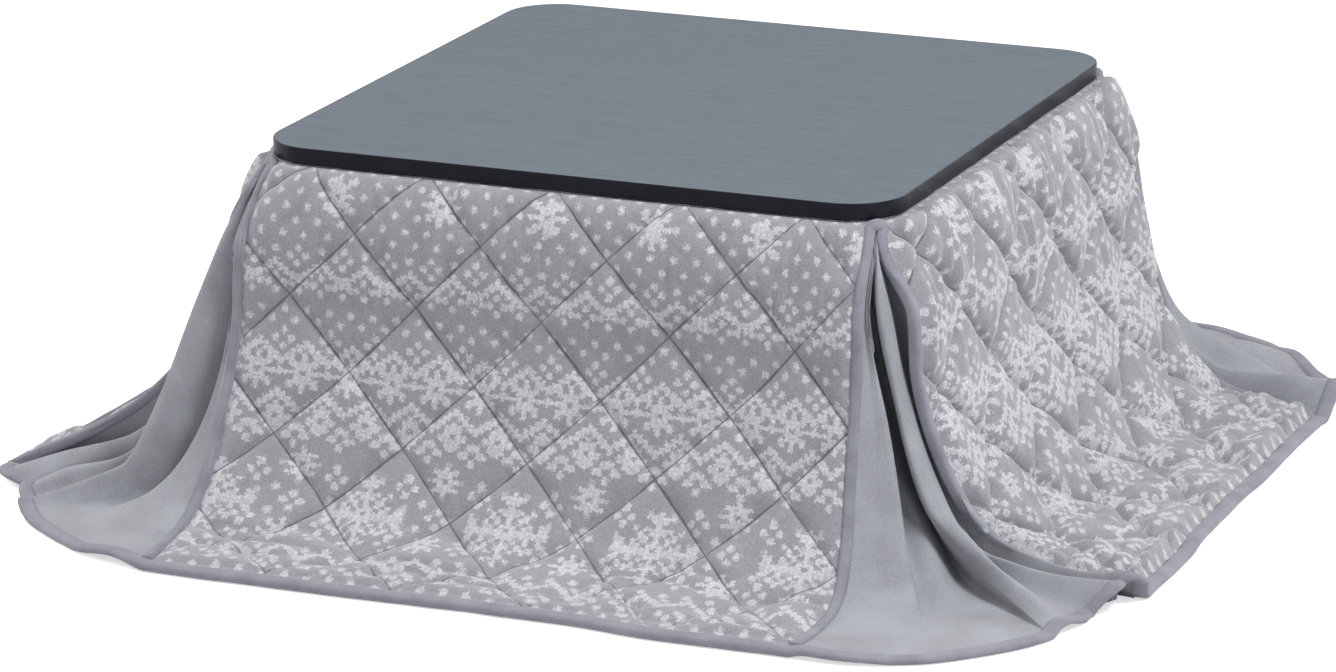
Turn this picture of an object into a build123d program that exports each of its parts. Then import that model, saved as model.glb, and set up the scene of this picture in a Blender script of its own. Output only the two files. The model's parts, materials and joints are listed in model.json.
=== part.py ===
from build123d import *
import math
import os

# A kotatsu: a low square table whose loose board clamps a quilt over a frame on folding legs,
# with an electric heater hung under the frame. Millimetres, +Z up, origin on the floor under
# the middle of the board. The front faces -Y. Quarter turns about Z carry front to right,
# back and left, so every corner is drawn as the front right one and turned into place.

os.makedirs("parts", exist_ok=True)

SIDES = ("front", "right", "back", "left")
CORNERS = ("front_right", "back_right", "back_left", "front_left")

# Board
table_side = 700
table_height = 385
board_thickness = 17
board_corner_radius = 60
laminate = 0.8
band_thickness = 1.5
band_arris = 0.9

# Quilt: pressed flat under the board, then a skirt that falls and lies out on the floor
quilt_pressed = 8
skirt_wall = 9
gusset_wall = 6
skirt_gap = 0.2
skirt_top_gap = 1.2
skirt_reach = 250
shoulder_out = 27
shoulder_drop = 48
waist_out = 37
waist_drop = 143
knee_out = 57
knee_height = 144
shin_out = 91
shin_height = 66
ankle_out = 134
ankle_height = 24
lie_out = 190
floor_gap = 0.4
binding_width = 16
binding_proud = 0.8
hem_width = 8
fold_depth = 30

# Each corner: where the seams of its two panels start and end (angle round the board's
# corner, heading of the seam, share of the skirt's reach), then the folds of the gusset
# between them (share of the way round, share of the reach, share of the fold's depth,
# which is negative where the fold stands out).
corner_seams = {
    "front_right": ((25, 6.5, 1.03), (65, 92.5, 1)),
    "back_right": ((25, -3.5, 1), (65, 83, 1.02)),
    "back_left": ((25, 8, 1.02), (65, 82, 1.02)),
    "front_left": ((25, 12, 1.04), (65, 78, 1.01)),
}
corner_folds = {
    "front_right": (
        (0.16, 1.06, -0.3),
        (0.33, 1.07, 1),
        (0.5, 1.13, -0.2),
        (0.68, 0.98, 1.1),
        (0.84, 1.03, -0.2),
    ),
    "back_right": ((0.25, 1.06, 0.5), (0.5, 1.1, -0.3), (0.75, 1.05, 0.7)),
    "back_left": ((0.2, 1.05, 0.7), (0.4, 1.1, -0.3), (0.6, 1.05, 0.8), (0.8, 1.05, -0.2)),
    "front_left": ((0.2, 1.05, 0.8), (0.42, 1.07, -0.5), (0.6, 1.05, -0.5), (0.8, 1.01, 0.8)),
}

# Frame
frame_side = 640
rail_thickness = 20
rail_height = 50
rail_corner_radius = 12
rail_edge_radius = 2
corner_block_side = 74
corner_block_height = 22
corner_block_chamfer = 30
bearer_width = 30
bearer_height = 20

# Folding legs
leg_side = 45
leg_edge_radius = 3
foot_height = 4
foot_inset = 1.5
foot_edge_radius = 1
leg_top_gap = 0.3
swing_clearance = 1.2
bracket_gauge = 2
bracket_length = 64
bracket_ear_radius = 20
washer_thickness = 0.5
washer_radius = 9
pivot_pin_radius = 4
pivot_head_radius = 7
pivot_head_height = 3
running_gap = 0.05

# Countersunk screws: shank, head, length
bracket_screw = (2, 3.85, 18)
bracket_screw_pitch_x = 52
bracket_screw_pitch_y = 28
frame_screw = (2.5, 4.8, 45)
screw_gap = 0.08
pilot_gap = 1

# Heater
heater_length = 295
heater_width = 205
heater_depth = 45
heater_corner_radius = 14
heater_sheet = 1
flange_length = 26
flange_reach = 20
flange_inset = 37.5
flange_hole_out = 9.5
heater_screw_radius = 2
heater_screw_head_radius = 4
heater_screw_head_height = 2.4
heater_screw_length = 16
gear_room = 49.5
reflector_sheet = 0.6
reflector_rim_inset = 5.5
reflector_rim_drop = 42
reflector_slope_run = 34
reflector_top_drop = 16
tube_radius = 5.5
tube_wall = 1
tube_half_pitch = 30
tube_bend_gap = 21
tube_drop = 30
coil_radius = 2
ceramic_side = 18
ceramic_length = 24
ceramic_grip = 14
support_thickness = 3
support_width = 20
support_past_bend = 17
guard_ring_radius = 1.6
guard_wire_radius = 1.1
guard_bar_count = 15
guard_long_bar_count = 5
guard_sink = 0.4
thermostat_radius = 8
thermostat_height = 9
thermostat_inset = 39.5
fuse_radius = 2.5
fuse_length = 14
fuse_inset = 43.5
control_drop = 22
terminal_length = 30
terminal_width = 16
terminal_height = 12
terminal_out = 21
lead_radius = 1.2
lead_bend = 5
inlet_width = 36
inlet_height = 20
inlet_wall = 3
inlet_depth = 16
inlet_body = 20
inlet_flange = 4
inlet_flange_thickness = 2
inlet_drop = 24
inlet_pin_radius = 2
inlet_pin_pitch = 10
inlet_pin_out = 12
inlet_pin_in = 5

# Heights and places that follow
board_under = table_height - board_thickness
frame_top = board_under - quilt_pressed
rail_under = frame_top - rail_height
frame_inner = frame_side / 2 - rail_thickness
core_side = table_side - 2 * band_thickness
core_radius = board_corner_radius - band_thickness
corner_centre = table_side / 2 - board_corner_radius
cloth_rest = floor_gap + binding_proud
block_under = frame_top - corner_block_height
web_under = block_under - bracket_gauge
leg_top = web_under - leg_top_gap
pivot_z = leg_top - leg_side / 2
pivot_x = frame_inner - swing_clearance - leg_side / math.sqrt(2)
leg_across = frame_inner - bracket_gauge - washer_thickness - leg_side / 2
bearer_under = frame_top - bearer_height
frame_screw_z = frame_top - corner_block_height / 2
bearer_spacing = heater_width + 2 * flange_hole_out
cross_bearer_spacing = heater_length + bearer_width
heater_top = bearer_under
heater_rim = heater_top - heater_depth
flange_pitch = heater_length - 2 * flange_inset
partition_x = heater_length / 2 - gear_room
reflector_start = heater_corner_radius - heater_length / 2
inside_half = heater_width / 2 - heater_sheet
inside_top = heater_top - heater_sheet
gear_face = partition_x + heater_sheet
inlet_face = heater_length / 2
inlet_z = heater_top - inlet_drop


def turned(quarter, plane):
    # The same plane after whole quarter turns about the table's axis
    return Plane(Location((0, 0, 0), (0, 0, 90 * quarter)) * plane.location)


def save(piece, name):
    piece.part.label = name
    export_step(piece.part, f"parts/{name}.step")


# Board: core, a decorative sheet on each face, and a band round the edge

with BuildPart() as tabletop_board:
    with BuildSketch(Plane.XY.offset(board_under + laminate)):
        RectangleRounded(core_side, core_side, core_radius)
    extrude(amount=board_thickness - 2 * laminate)
save(tabletop_board, "tabletop_board")

with BuildPart() as tabletop_surface_sheet:
    with BuildSketch(Plane.XY.offset(table_height - laminate)):
        RectangleRounded(core_side, core_side, core_radius)
    extrude(amount=laminate)
save(tabletop_surface_sheet, "tabletop_surface_sheet")

with BuildPart() as tabletop_backing_sheet:
    with BuildSketch(Plane.XY.offset(board_under)):
        RectangleRounded(core_side, core_side, core_radius)
    extrude(amount=laminate)
save(tabletop_backing_sheet, "tabletop_backing_sheet")

with BuildPart() as tabletop_edge_band:
    with BuildSketch(Plane.XY.offset(board_under)):
        RectangleRounded(table_side, table_side, board_corner_radius)
    extrude(amount=board_thickness)
    fillet(tabletop_edge_band.faces().filter_by(Axis.Z).edges(), band_arris)
    with BuildSketch(Plane.XY.offset(board_under)):
        RectangleRounded(core_side, core_side, core_radius)
    extrude(amount=board_thickness, mode=Mode.SUBTRACT)
save(tabletop_edge_band, "tabletop_edge_band")

# Quilt


def cloth_face(reach, fold, wall, depth):
    # Points down one face of the skirt, depth behind its outer face: distance out, height
    line = (
        (0, board_under - skirt_top_gap),
        (shoulder_out, board_under - shoulder_drop),
        (waist_out, board_under - waist_drop),
        (knee_out, knee_height),
        (shin_out, shin_height),
        (ankle_out, ankle_height),
        (lie_out, cloth_rest + wall),
        (skirt_reach, cloth_rest + wall),
    )
    last = len(line) - 1
    outer = []
    for i, (out, height) in enumerate(line):
        outer.append((out * reach - fold * fold_depth * math.sin(math.pi * i / last), height))
    face = [(outer[0][0], outer[0][1] - depth)]
    for before, here, after in zip(outer, outer[1:-2], outer[2:-1]):
        run = after[0] - before[0]
        drop = before[1] - after[1]
        span = math.hypot(run, drop)
        face.append((here[0] - depth * drop / span, here[1] - depth * run / span))
    for out, height in outer[-2:]:
        face.append((out, height - depth))
    return face


def cloth_section(plane, reach, fold, wall, proud=0):
    # Slice through the skirt in an upright plane: it curves down, then lies flat to the hem
    outer = cloth_face(reach, fold, wall, -proud)
    inner = cloth_face(reach, fold, wall, wall + proud)
    with BuildSketch(plane) as section:
        with BuildLine():
            Spline(*outer[:-1])
            Polyline(outer[-2], outer[-1], inner[-1], inner[-2])
            Spline(*reversed(inner[:-1]))
            Line(inner[0], outer[0])
        make_face()
    return section.sketch


def hem_section(plane, reach):
    # Slice through the tape that closes the cut edge
    height = skirt_wall + 2 * binding_proud
    with BuildSketch(plane) as section:
        with Locations((skirt_reach * reach + hem_width / 2, floor_gap + height / 2)):
            RectangleRounded(hem_width, height, hem_width / 3)
    return section.sketch


def skirt_plane(quarter, arc_angle, heading, aside=0):
    # Upright plane that leaves the board's rounded corner at arc_angle and runs out along
    # heading, both turned from the front towards the right, moved sideways by aside
    arc = math.radians(arc_angle)
    way = math.radians(heading)
    away = board_corner_radius + skirt_gap
    x = corner_centre + away * math.sin(arc) + aside * math.cos(way)
    y = -corner_centre - away * math.cos(arc) + aside * math.sin(way)
    plane = Plane(
        origin=(x, y, 0),
        x_dir=(math.sin(way), -math.cos(way), 0),
        z_dir=(-math.cos(way), -math.sin(way), 0),
    )
    return turned(quarter, plane)


half_tape = binding_width / 2
hem_spans = []
skirt_pieces = []

for quarter, side in enumerate(SIDES):
    start_arc, start_heading, start_reach = corner_seams[CORNERS[quarter - 1]][1]
    end_arc, end_heading, end_reach = corner_seams[CORNERS[quarter]][0]
    slices = (
        (skirt_plane(quarter - 1, start_arc, start_heading, half_tape), start_reach),
        (skirt_plane(quarter - 1, 90, 90), 1),
        (skirt_plane(quarter, 0, 0), 1),
        (skirt_plane(quarter, end_arc, end_heading, -half_tape), end_reach),
    )
    with BuildPart() as futon_panel:
        loft([cloth_section(plane, reach, 0, skirt_wall) for plane, reach in slices], ruled=True)
    save(futon_panel, f"futon_panel_{side}")
    skirt_pieces.append(futon_panel.part)
    hem_spans.append(slices)

for quarter, corner in enumerate(CORNERS):
    (start_arc, start_heading, start_reach), (end_arc, end_heading, end_reach) = corner_seams[corner]
    with BuildPart() as futon_corner_binding:
        for arc, heading, reach in corner_seams[corner]:
            edges_of_tape = (skirt_plane(quarter, arc, heading, aside) for aside in (-half_tape, half_tape))
            loft([cloth_section(plane, reach, 0, skirt_wall, binding_proud) for plane in edges_of_tape])
    save(futon_corner_binding, f"futon_corner_binding_{corner}")
    skirt_pieces.append(futon_corner_binding.part)

    slices = [(skirt_plane(quarter, start_arc, start_heading, half_tape), start_reach, 0)]
    for share, reach, fold in corner_folds[corner]:
        arc = start_arc + share * (end_arc - start_arc)
        heading = start_heading + share * (end_heading - start_heading)
        slices.append((skirt_plane(quarter, arc, heading), reach, fold))
    slices.append((skirt_plane(quarter, end_arc, end_heading, -half_tape), end_reach, 0))
    with BuildPart() as futon_gusset:
        loft([cloth_section(plane, reach, fold, gusset_wall) for plane, reach, fold in slices], ruled=True)
    save(futon_gusset, f"futon_gusset_{corner}")
    skirt_pieces.append(futon_gusset.part)

    span = [(skirt_plane(quarter, start_arc, start_heading, -half_tape), start_reach)]
    span += [(plane, reach) for plane, reach, fold in slices]
    span += [(skirt_plane(quarter, end_arc, end_heading, half_tape), end_reach)]
    hem_spans.append(span)

with BuildPart() as futon_hem_binding:
    for span in hem_spans:
        loft([hem_section(plane, reach) for plane, reach in span], ruled=True)
save(futon_hem_binding, "futon_hem_binding")

# The top panel is let in between the skirt's pieces, which meet it along the board's edge
with BuildPart() as futon_top_panel:
    with BuildSketch(Plane.XY.offset(frame_top)):
        RectangleRounded(table_side, table_side, board_corner_radius)
    extrude(amount=quilt_pressed)
    add(skirt_pieces, mode=Mode.SUBTRACT)
save(futon_top_panel, "futon_top_panel")


def countersunk_screw(shank, head, length):
    # Head face at the origin looking up, shank down the Z axis
    with BuildPart() as screw:
        with BuildSketch(Plane.XZ):
            with BuildLine():
                Polyline((0, 0), (head, 0), (shank, shank - head), (shank, shank - length))
                Line((shank, shank - length), (0, -length))
                Line((0, -length), (0, 0))
            make_face()
        revolve(axis=Axis.Z)
    return screw.part


def sink_hole(screw, depth):
    # The hole that such a screw needs in the piece under its head
    shank, head, _ = screw
    CounterSinkHole(shank + screw_gap, head + screw_gap, depth=depth, counter_sink_angle=90)


# Frame: four rails butted at the corners, blocks inside, bearers across for the heater.
# A rail's screws enter its outer face; those beside the legs go on into the corner blocks.

rail_screw_places = (pivot_x, -leg_across)
bearer_places = (-bearer_spacing / 2, bearer_spacing / 2)


def web_plane(quarter, height):
    # Faces down at the middle of a leg bracket's web, so what is drilled or set there goes up
    return turned(quarter, Plane(origin=(pivot_x, -leg_across, height), z_dir=(0, 0, -1)))


def rail_screw_plane(quarter, along):
    face = Plane(
        origin=(along, -frame_side / 2, frame_screw_z),
        x_dir=(1, 0, 0),
        z_dir=(0, -1, 0),
    )
    return turned(quarter, face)


for quarter, side in enumerate(SIDES):
    long_rail = quarter % 2 == 0
    length = frame_side if long_rail else frame_side - 2 * rail_thickness
    places = rail_screw_places if long_rail else rail_screw_places + bearer_places
    rail_middle = turned(quarter, Plane(origin=(0, -(frame_inner + rail_thickness / 2), rail_under)))
    with BuildPart() as rail:
        with BuildSketch(rail_middle):
            Rectangle(length, rail_thickness)
        extrude(amount=rail_height)
        if long_rail:
            ends = rail.edges().filter_by(Axis.Z).group_by(Axis.Y)[0 if quarter == 0 else -1]
            fillet(ends, rail_corner_radius)
        run = Axis.X if long_rail else Axis.Y
        fillet(rail.faces().filter_by(Axis.Z).edges().filter_by(run), rail_edge_radius)
        with Locations(*[rail_screw_plane(quarter, place) for place in places]):
            sink_hole(frame_screw, rail_thickness)
    save(rail, f"frame_rail_{side}")

with BuildPart() as corner_blocks:
    for quarter in range(4):
        block_middle = frame_inner - corner_block_side / 2
        with BuildSketch(turned(quarter, Plane(origin=(block_middle, -block_middle, block_under)))):
            Rectangle(corner_block_side, corner_block_side)
            chamfer(vertices().sort_by(Axis((0, 0, 0), (1, -1, 0)))[0], corner_block_chamfer)
        extrude(amount=corner_block_height)
    for quarter in range(4):
        with Locations(
            rail_screw_plane(quarter, pivot_x),
            rail_screw_plane(quarter, -leg_across),
        ):
            Hole(frame_screw[0] + screw_gap, depth=frame_screw[2] + pilot_gap)
        with Locations(web_plane(quarter, block_under)):
            with GridLocations(bracket_screw_pitch_x, bracket_screw_pitch_y, 2, 2):
                Hole(bracket_screw[0] + screw_gap, depth=bracket_screw[2])
save(corner_blocks, "corner_blocks")

for name, y in (("front", bearer_places[0]), ("back", bearer_places[1])):
    with BuildPart() as bearer:
        with BuildSketch(Plane(origin=(0, y, bearer_under))):
            Rectangle(2 * frame_inner, bearer_width)
        extrude(amount=bearer_height)
        with Locations(
            Plane(origin=(frame_inner, y, frame_screw_z), z_dir=(1, 0, 0)),
            Plane(origin=(-frame_inner, y, frame_screw_z), z_dir=(-1, 0, 0)),
        ):
            Hole(frame_screw[0] + screw_gap, depth=frame_screw[2] - rail_thickness + pilot_gap)
        with Locations(
            Plane(origin=(flange_pitch / 2, y, bearer_under), z_dir=(0, 0, -1)),
            Plane(origin=(-flange_pitch / 2, y, bearer_under), z_dir=(0, 0, -1)),
        ):
            Hole(heater_screw_radius + screw_gap, depth=heater_screw_length)
    save(bearer, f"heater_bearer_{name}")

for name, x in (("left", -cross_bearer_spacing / 2), ("right", cross_bearer_spacing / 2)):
    with BuildPart() as cross_bearer:
        with BuildSketch(Plane(origin=(x, 0, bearer_under))):
            Rectangle(bearer_width, bearer_spacing - bearer_width)
        extrude(amount=bearer_height)
    save(cross_bearer, f"cross_bearer_{name}")

with BuildPart() as frame_screws:
    for quarter in range(4):
        places = rail_screw_places if quarter % 2 == 0 else rail_screw_places + bearer_places
        with Locations(*[rail_screw_plane(quarter, place) for place in places]):
            add(countersunk_screw(*frame_screw))
save(frame_screws, "frame_screws")

# Folding legs: a channel bracket under each block, a pin through its ears and the leg.
# Each leg folds along the rail of its own side, so the four lie like a pinwheel.

with BuildPart() as leg_bracket_screws:
    for quarter in range(4):
        with Locations(web_plane(quarter, web_under)):
            with GridLocations(bracket_screw_pitch_x, bracket_screw_pitch_y, 2, 2):
                add(countersunk_screw(*bracket_screw))
save(leg_bracket_screws, "leg_bracket_screws")

pin_span = leg_side + 2 * washer_thickness + 2 * bracket_gauge
pin_outer_face = leg_across + pin_span / 2
pin_inner_face = leg_across - pin_span / 2


def pivot_plane(quarter, across):
    # Upright plane across the pivot, looking at the rail, its origin on the pivot's axis
    return turned(quarter, Plane(origin=(pivot_x, -across, pivot_z), x_dir=(1, 0, 0), z_dir=(0, -1, 0)))


for quarter, corner in enumerate(CORNERS):
    with BuildPart() as leg_bracket:
        with BuildSketch(turned(quarter, Plane(origin=(pivot_x, -leg_across, web_under)))):
            Rectangle(bracket_length, pin_span)
        extrude(amount=bracket_gauge)
        for across in (pin_inner_face, pin_outer_face - bracket_gauge):
            with BuildSketch(pivot_plane(quarter, across)):
                Circle(bracket_ear_radius)
                with Locations((0, (web_under - pivot_z) / 2)):
                    Rectangle(2 * bracket_ear_radius, web_under - pivot_z)
                Circle(pivot_pin_radius + running_gap, mode=Mode.SUBTRACT)
            extrude(amount=bracket_gauge)
        with Locations(web_plane(quarter, web_under)):
            with GridLocations(bracket_screw_pitch_x, bracket_screw_pitch_y, 2, 2):
                sink_hole(bracket_screw, bracket_gauge)
    save(leg_bracket, f"leg_bracket_{corner}")

    half = leg_side / 2
    with BuildPart() as leg:
        with BuildSketch(pivot_plane(quarter, leg_across - half)):
            with BuildLine():
                Polyline(
                    (-half, 0),
                    (-half, foot_height - pivot_z),
                    (half, foot_height - pivot_z),
                    (half, half),
                    (0, half),
                )
                CenterArc((0, 0), half, 90, 90)
            make_face()
        extrude(amount=leg_side)
        fillet(leg.edges().filter_by(Axis.Z), leg_edge_radius)
        with Locations(pivot_plane(quarter, leg_across + half)):
            Hole(pivot_pin_radius + running_gap)
    save(leg, f"leg_{corner}")

    foot_side = leg_side - 2 * foot_inset
    with BuildPart() as leg_foot:
        with BuildSketch(turned(quarter, Plane(origin=(pivot_x, -leg_across, 0)))):
            RectangleRounded(foot_side, foot_side, leg_edge_radius)
        extrude(amount=foot_height)
        fillet(leg_foot.faces().sort_by(Axis.Z)[0].edges(), foot_edge_radius)
    save(leg_foot, f"leg_foot_{corner}")

with BuildPart() as leg_washers:
    for quarter in range(4):
        for across in (pin_inner_face + bracket_gauge, leg_across + leg_side / 2):
            with BuildSketch(pivot_plane(quarter, across)):
                Circle(washer_radius)
                Circle(pivot_pin_radius + running_gap, mode=Mode.SUBTRACT)
            extrude(amount=washer_thickness)
save(leg_washers, "leg_washers")

with BuildPart() as leg_pivot_pins:
    for quarter in range(4):
        with BuildSketch(pivot_plane(quarter, pin_inner_face)):
            Circle(pivot_pin_radius)
        extrude(amount=pin_span)
        with BuildSketch(pivot_plane(quarter, pin_inner_face - pivot_head_height)):
            Circle(pivot_head_radius)
        extrude(amount=pivot_head_height)
save(leg_pivot_pins, "leg_pivot_pins")

# Heater: a pressed pan under the bearers, a bent tube under a reflector, a wire guard below,
# and the switchgear behind a partition at the end where the lead plugs in

with BuildPart() as heater_case:
    with BuildSketch(Plane.XY.offset(heater_rim)):
        RectangleRounded(heater_length, heater_width, heater_corner_radius)
    extrude(amount=heater_depth)
    with BuildSketch(Plane.XY.offset(heater_rim)):
        RectangleRounded(
            heater_length - 2 * heater_sheet,
            heater_width - 2 * heater_sheet,
            heater_corner_radius - heater_sheet,
        )
    extrude(amount=heater_depth - heater_sheet, mode=Mode.SUBTRACT)
    flange_middle = heater_width / 2 + flange_reach / 2 - heater_corner_radius / 4
    with BuildSketch(Plane.XY.offset(heater_top - heater_sheet)):
        with GridLocations(flange_pitch, 2 * flange_middle, 2, 2):
            Rectangle(flange_length, flange_reach)
    extrude(amount=heater_sheet)
    with Locations(Plane(origin=(0, 0, heater_top - heater_sheet), z_dir=(0, 0, -1))):
        with GridLocations(flange_pitch, bearer_spacing, 2, 2):
            Hole(heater_screw_radius + screw_gap, depth=2 * heater_sheet)
    with BuildSketch(Plane(origin=(inlet_face, 0, inlet_z), x_dir=(0, 1, 0), z_dir=(1, 0, 0))):
        Rectangle(inlet_width + 2 * screw_gap, inlet_height + 2 * screw_gap)
    extrude(amount=-2 * heater_sheet, mode=Mode.SUBTRACT)
save(heater_case, "heater_case")

with BuildPart() as heater_screws:
    for x in (-flange_pitch / 2, flange_pitch / 2):
        for y in bearer_places:
            with BuildSketch(Plane(origin=(x, y, heater_top - heater_sheet))):
                Circle(heater_screw_radius)
            extrude(amount=heater_screw_length)
            with BuildSketch(Plane(origin=(x, y, heater_top - heater_sheet - heater_screw_head_height))):
                Circle(heater_screw_head_radius)
            extrude(amount=heater_screw_head_height)
save(heater_screws, "heater_screws")

tube_z = heater_top - tube_drop

with BuildPart() as heater_partition:
    with BuildSketch(Plane(origin=(partition_x, 0, 0), x_dir=(0, 1, 0), z_dir=(1, 0, 0))):
        with Locations((0, (inside_top + heater_rim) / 2)):
            Rectangle(2 * inside_half, inside_top - heater_rim)
        for y in (-tube_half_pitch, tube_half_pitch):
            with Locations((y, tube_z)):
                Rectangle(ceramic_side + 2 * screw_gap, ceramic_side + 2 * screw_gap, mode=Mode.SUBTRACT)
    extrude(amount=heater_sheet)
save(heater_partition, "heater_partition")

reflector_rim_z = heater_top - reflector_rim_drop
reflector_top_z = heater_top - reflector_top_drop
reflector_rim_half = inside_half - reflector_rim_inset
reflector_top_half = reflector_rim_half - reflector_slope_run

with BuildPart() as heater_reflector:
    with BuildSketch(Plane(origin=(reflector_start, 0, 0), x_dir=(0, 1, 0), z_dir=(1, 0, 0))):
        with BuildLine():
            sheet_line = Polyline(
                (-inside_half + screw_gap, reflector_rim_z),
                (-reflector_rim_half, reflector_rim_z),
                (-reflector_top_half, reflector_top_z),
                (reflector_top_half, reflector_top_z),
                (reflector_rim_half, reflector_rim_z),
                (inside_half - screw_gap, reflector_rim_z),
            )
            offset(sheet_line, reflector_sheet, side=Side.LEFT)
        make_face()
    extrude(amount=partition_x - reflector_start)
save(heater_reflector, "heater_reflector")

tube_end_x = partition_x
bend_x = reflector_start + tube_bend_gap + tube_radius + tube_half_pitch
support_x = bend_x + support_past_bend


def tube_path(end_x):
    with BuildLine() as path:
        Line((end_x, -tube_half_pitch, tube_z), (bend_x, -tube_half_pitch, tube_z))
        ThreePointArc(
            (bend_x, -tube_half_pitch, tube_z),
            (bend_x - tube_half_pitch, 0, tube_z),
            (bend_x, tube_half_pitch, tube_z),
        )
        Line((bend_x, tube_half_pitch, tube_z), (end_x, tube_half_pitch, tube_z))
    return path.line


def tube_mouth(end_x):
    return Plane(origin=(end_x, -tube_half_pitch, tube_z), x_dir=(0, 1, 0), z_dir=(-1, 0, 0))


with BuildPart() as heater_quartz_tube:
    with BuildSketch(tube_mouth(tube_end_x)):
        Circle(tube_radius)
        Circle(tube_radius - tube_wall, mode=Mode.SUBTRACT)
    sweep(path=tube_path(tube_end_x))
save(heater_quartz_tube, "heater_quartz_tube")

ceramic_start = partition_x - ceramic_grip
ceramic_end = ceramic_start + ceramic_length

with BuildPart() as heater_coil:
    with BuildSketch(tube_mouth(ceramic_end)):
        Circle(coil_radius)
    sweep(path=tube_path(ceramic_end))
save(heater_coil, "heater_coil")

with BuildPart() as heater_ceramics:
    for y in (-tube_half_pitch, tube_half_pitch):
        with BuildSketch(Plane(origin=(ceramic_start, y, tube_z), x_dir=(0, 1, 0), z_dir=(1, 0, 0))):
            Rectangle(ceramic_side, ceramic_side)
            Circle(coil_radius + running_gap, mode=Mode.SUBTRACT)
        extrude(amount=ceramic_length)
        with BuildSketch(Plane(origin=(ceramic_start, y, tube_z), x_dir=(0, 1, 0), z_dir=(1, 0, 0))):
            Circle(tube_radius + running_gap)
        extrude(amount=ceramic_grip, mode=Mode.SUBTRACT)
save(heater_ceramics, "heater_ceramics")

with BuildPart() as heater_tube_supports:
    for y in (-tube_half_pitch, tube_half_pitch):
        support_under = tube_z - ceramic_side / 2
        with BuildSketch(Plane(origin=(support_x, y, 0), x_dir=(0, 1, 0), z_dir=(1, 0, 0))):
            with Locations((0, (support_under + reflector_top_z) / 2)):
                Rectangle(support_width, reflector_top_z - support_under)
            with Locations((0, tube_z)):
                Circle(tube_radius + running_gap, mode=Mode.SUBTRACT)
        extrude(amount=support_thickness)
save(heater_tube_supports, "heater_tube_supports")

guard_half_x = heater_length / 2 - heater_sheet
guard_half_y = heater_width / 2 - heater_sheet
guard_corner = heater_corner_radius - heater_sheet
ring_z = heater_rim - guard_ring_radius
bar_z = ring_z - guard_ring_radius - guard_wire_radius + guard_sink
long_bar_z = bar_z - 2 * guard_wire_radius + guard_sink
bar_pitch = 2 * (guard_half_x - heater_corner_radius) / (guard_bar_count - 1)
long_bar_pitch = 2 * (guard_half_y - heater_corner_radius) / (guard_long_bar_count - 1)

with BuildSketch(Plane.XY.offset(ring_z)) as guard_outline:
    RectangleRounded(2 * guard_half_x, 2 * guard_half_y, guard_corner)
ring_path = guard_outline.sketch.wire()

with BuildPart() as heater_guard:
    with BuildSketch(Plane(ring_path ^ 0)):
        Circle(guard_ring_radius)
    sweep(path=ring_path)
    with BuildSketch(Plane.XZ.offset(-guard_half_y)):
        with Locations((0, bar_z)):
            with GridLocations(bar_pitch, 0, guard_bar_count, 1):
                Circle(guard_wire_radius)
    extrude(amount=2 * guard_half_y)
    with BuildSketch(Plane.YZ.offset(-guard_half_x)):
        with Locations((0, long_bar_z)):
            with GridLocations(long_bar_pitch, 0, guard_long_bar_count, 1):
                Circle(guard_wire_radius)
    extrude(amount=2 * guard_half_x)
save(heater_guard, "heater_guard")

control_z = heater_top - control_drop
thermostat_y = inside_half - thermostat_inset
fuse_y = fuse_inset - inside_half
terminal_x = gear_face + terminal_out

with BuildPart() as heater_thermostat:
    with BuildSketch(Plane(origin=(gear_face, thermostat_y, control_z), z_dir=(1, 0, 0))):
        Circle(thermostat_radius)
    extrude(amount=thermostat_height)
save(heater_thermostat, "heater_thermostat")

with BuildPart() as heater_thermal_fuse:
    with BuildSketch(
        Plane(origin=(gear_face + fuse_radius, fuse_y - fuse_length / 2, control_z), z_dir=(0, 1, 0))
    ):
        Circle(fuse_radius)
    extrude(amount=fuse_length)
save(heater_thermal_fuse, "heater_thermal_fuse")

with BuildPart() as heater_terminal_block:
    with BuildSketch(Plane(origin=(terminal_x, 0, inside_top - terminal_height))):
        Rectangle(terminal_width, terminal_length)
    extrude(amount=terminal_height)
save(heater_terminal_block, "heater_terminal_block")

terminal_z = inside_top - terminal_height / 2

with BuildPart() as heater_leads:
    for way in (-1, 1):
        with BuildLine() as lead_path:
            FilletPolyline(
                (terminal_x, way * terminal_length / 2, terminal_z),
                (terminal_x, way * tube_half_pitch, terminal_z),
                (terminal_x, way * tube_half_pitch, tube_z),
                (ceramic_end, way * tube_half_pitch, tube_z),
                radius=lead_bend,
            )
        with BuildSketch(
            Plane(origin=(terminal_x, way * terminal_length / 2, terminal_z), z_dir=(0, way, 0))
        ):
            Circle(lead_radius)
        sweep(path=lead_path.line)
save(heater_leads, "heater_leads")

with BuildPart() as heater_inlet:
    inlet_plane = Plane(origin=(inlet_face, 0, inlet_z), x_dir=(0, 1, 0), z_dir=(1, 0, 0))
    with BuildSketch(inlet_plane):
        Rectangle(inlet_width + 2 * inlet_flange, inlet_height + 2 * inlet_flange)
    extrude(amount=inlet_flange_thickness)
    with BuildSketch(inlet_plane):
        Rectangle(inlet_width, inlet_height)
    extrude(amount=-inlet_body)
    with BuildSketch(inlet_plane.offset(inlet_flange_thickness)):
        Rectangle(inlet_width - 2 * inlet_wall, inlet_height - 2 * inlet_wall)
    extrude(amount=-inlet_depth, mode=Mode.SUBTRACT)
    with Locations(inlet_plane):
        with GridLocations(inlet_pin_pitch, 0, 3, 1):
            Hole(inlet_pin_radius + running_gap, depth=inlet_body + pilot_gap)
save(heater_inlet, "heater_inlet")

pin_start = inlet_face - inlet_body - inlet_pin_in
pin_end = inlet_face + inlet_flange_thickness - inlet_depth + inlet_pin_out

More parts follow.
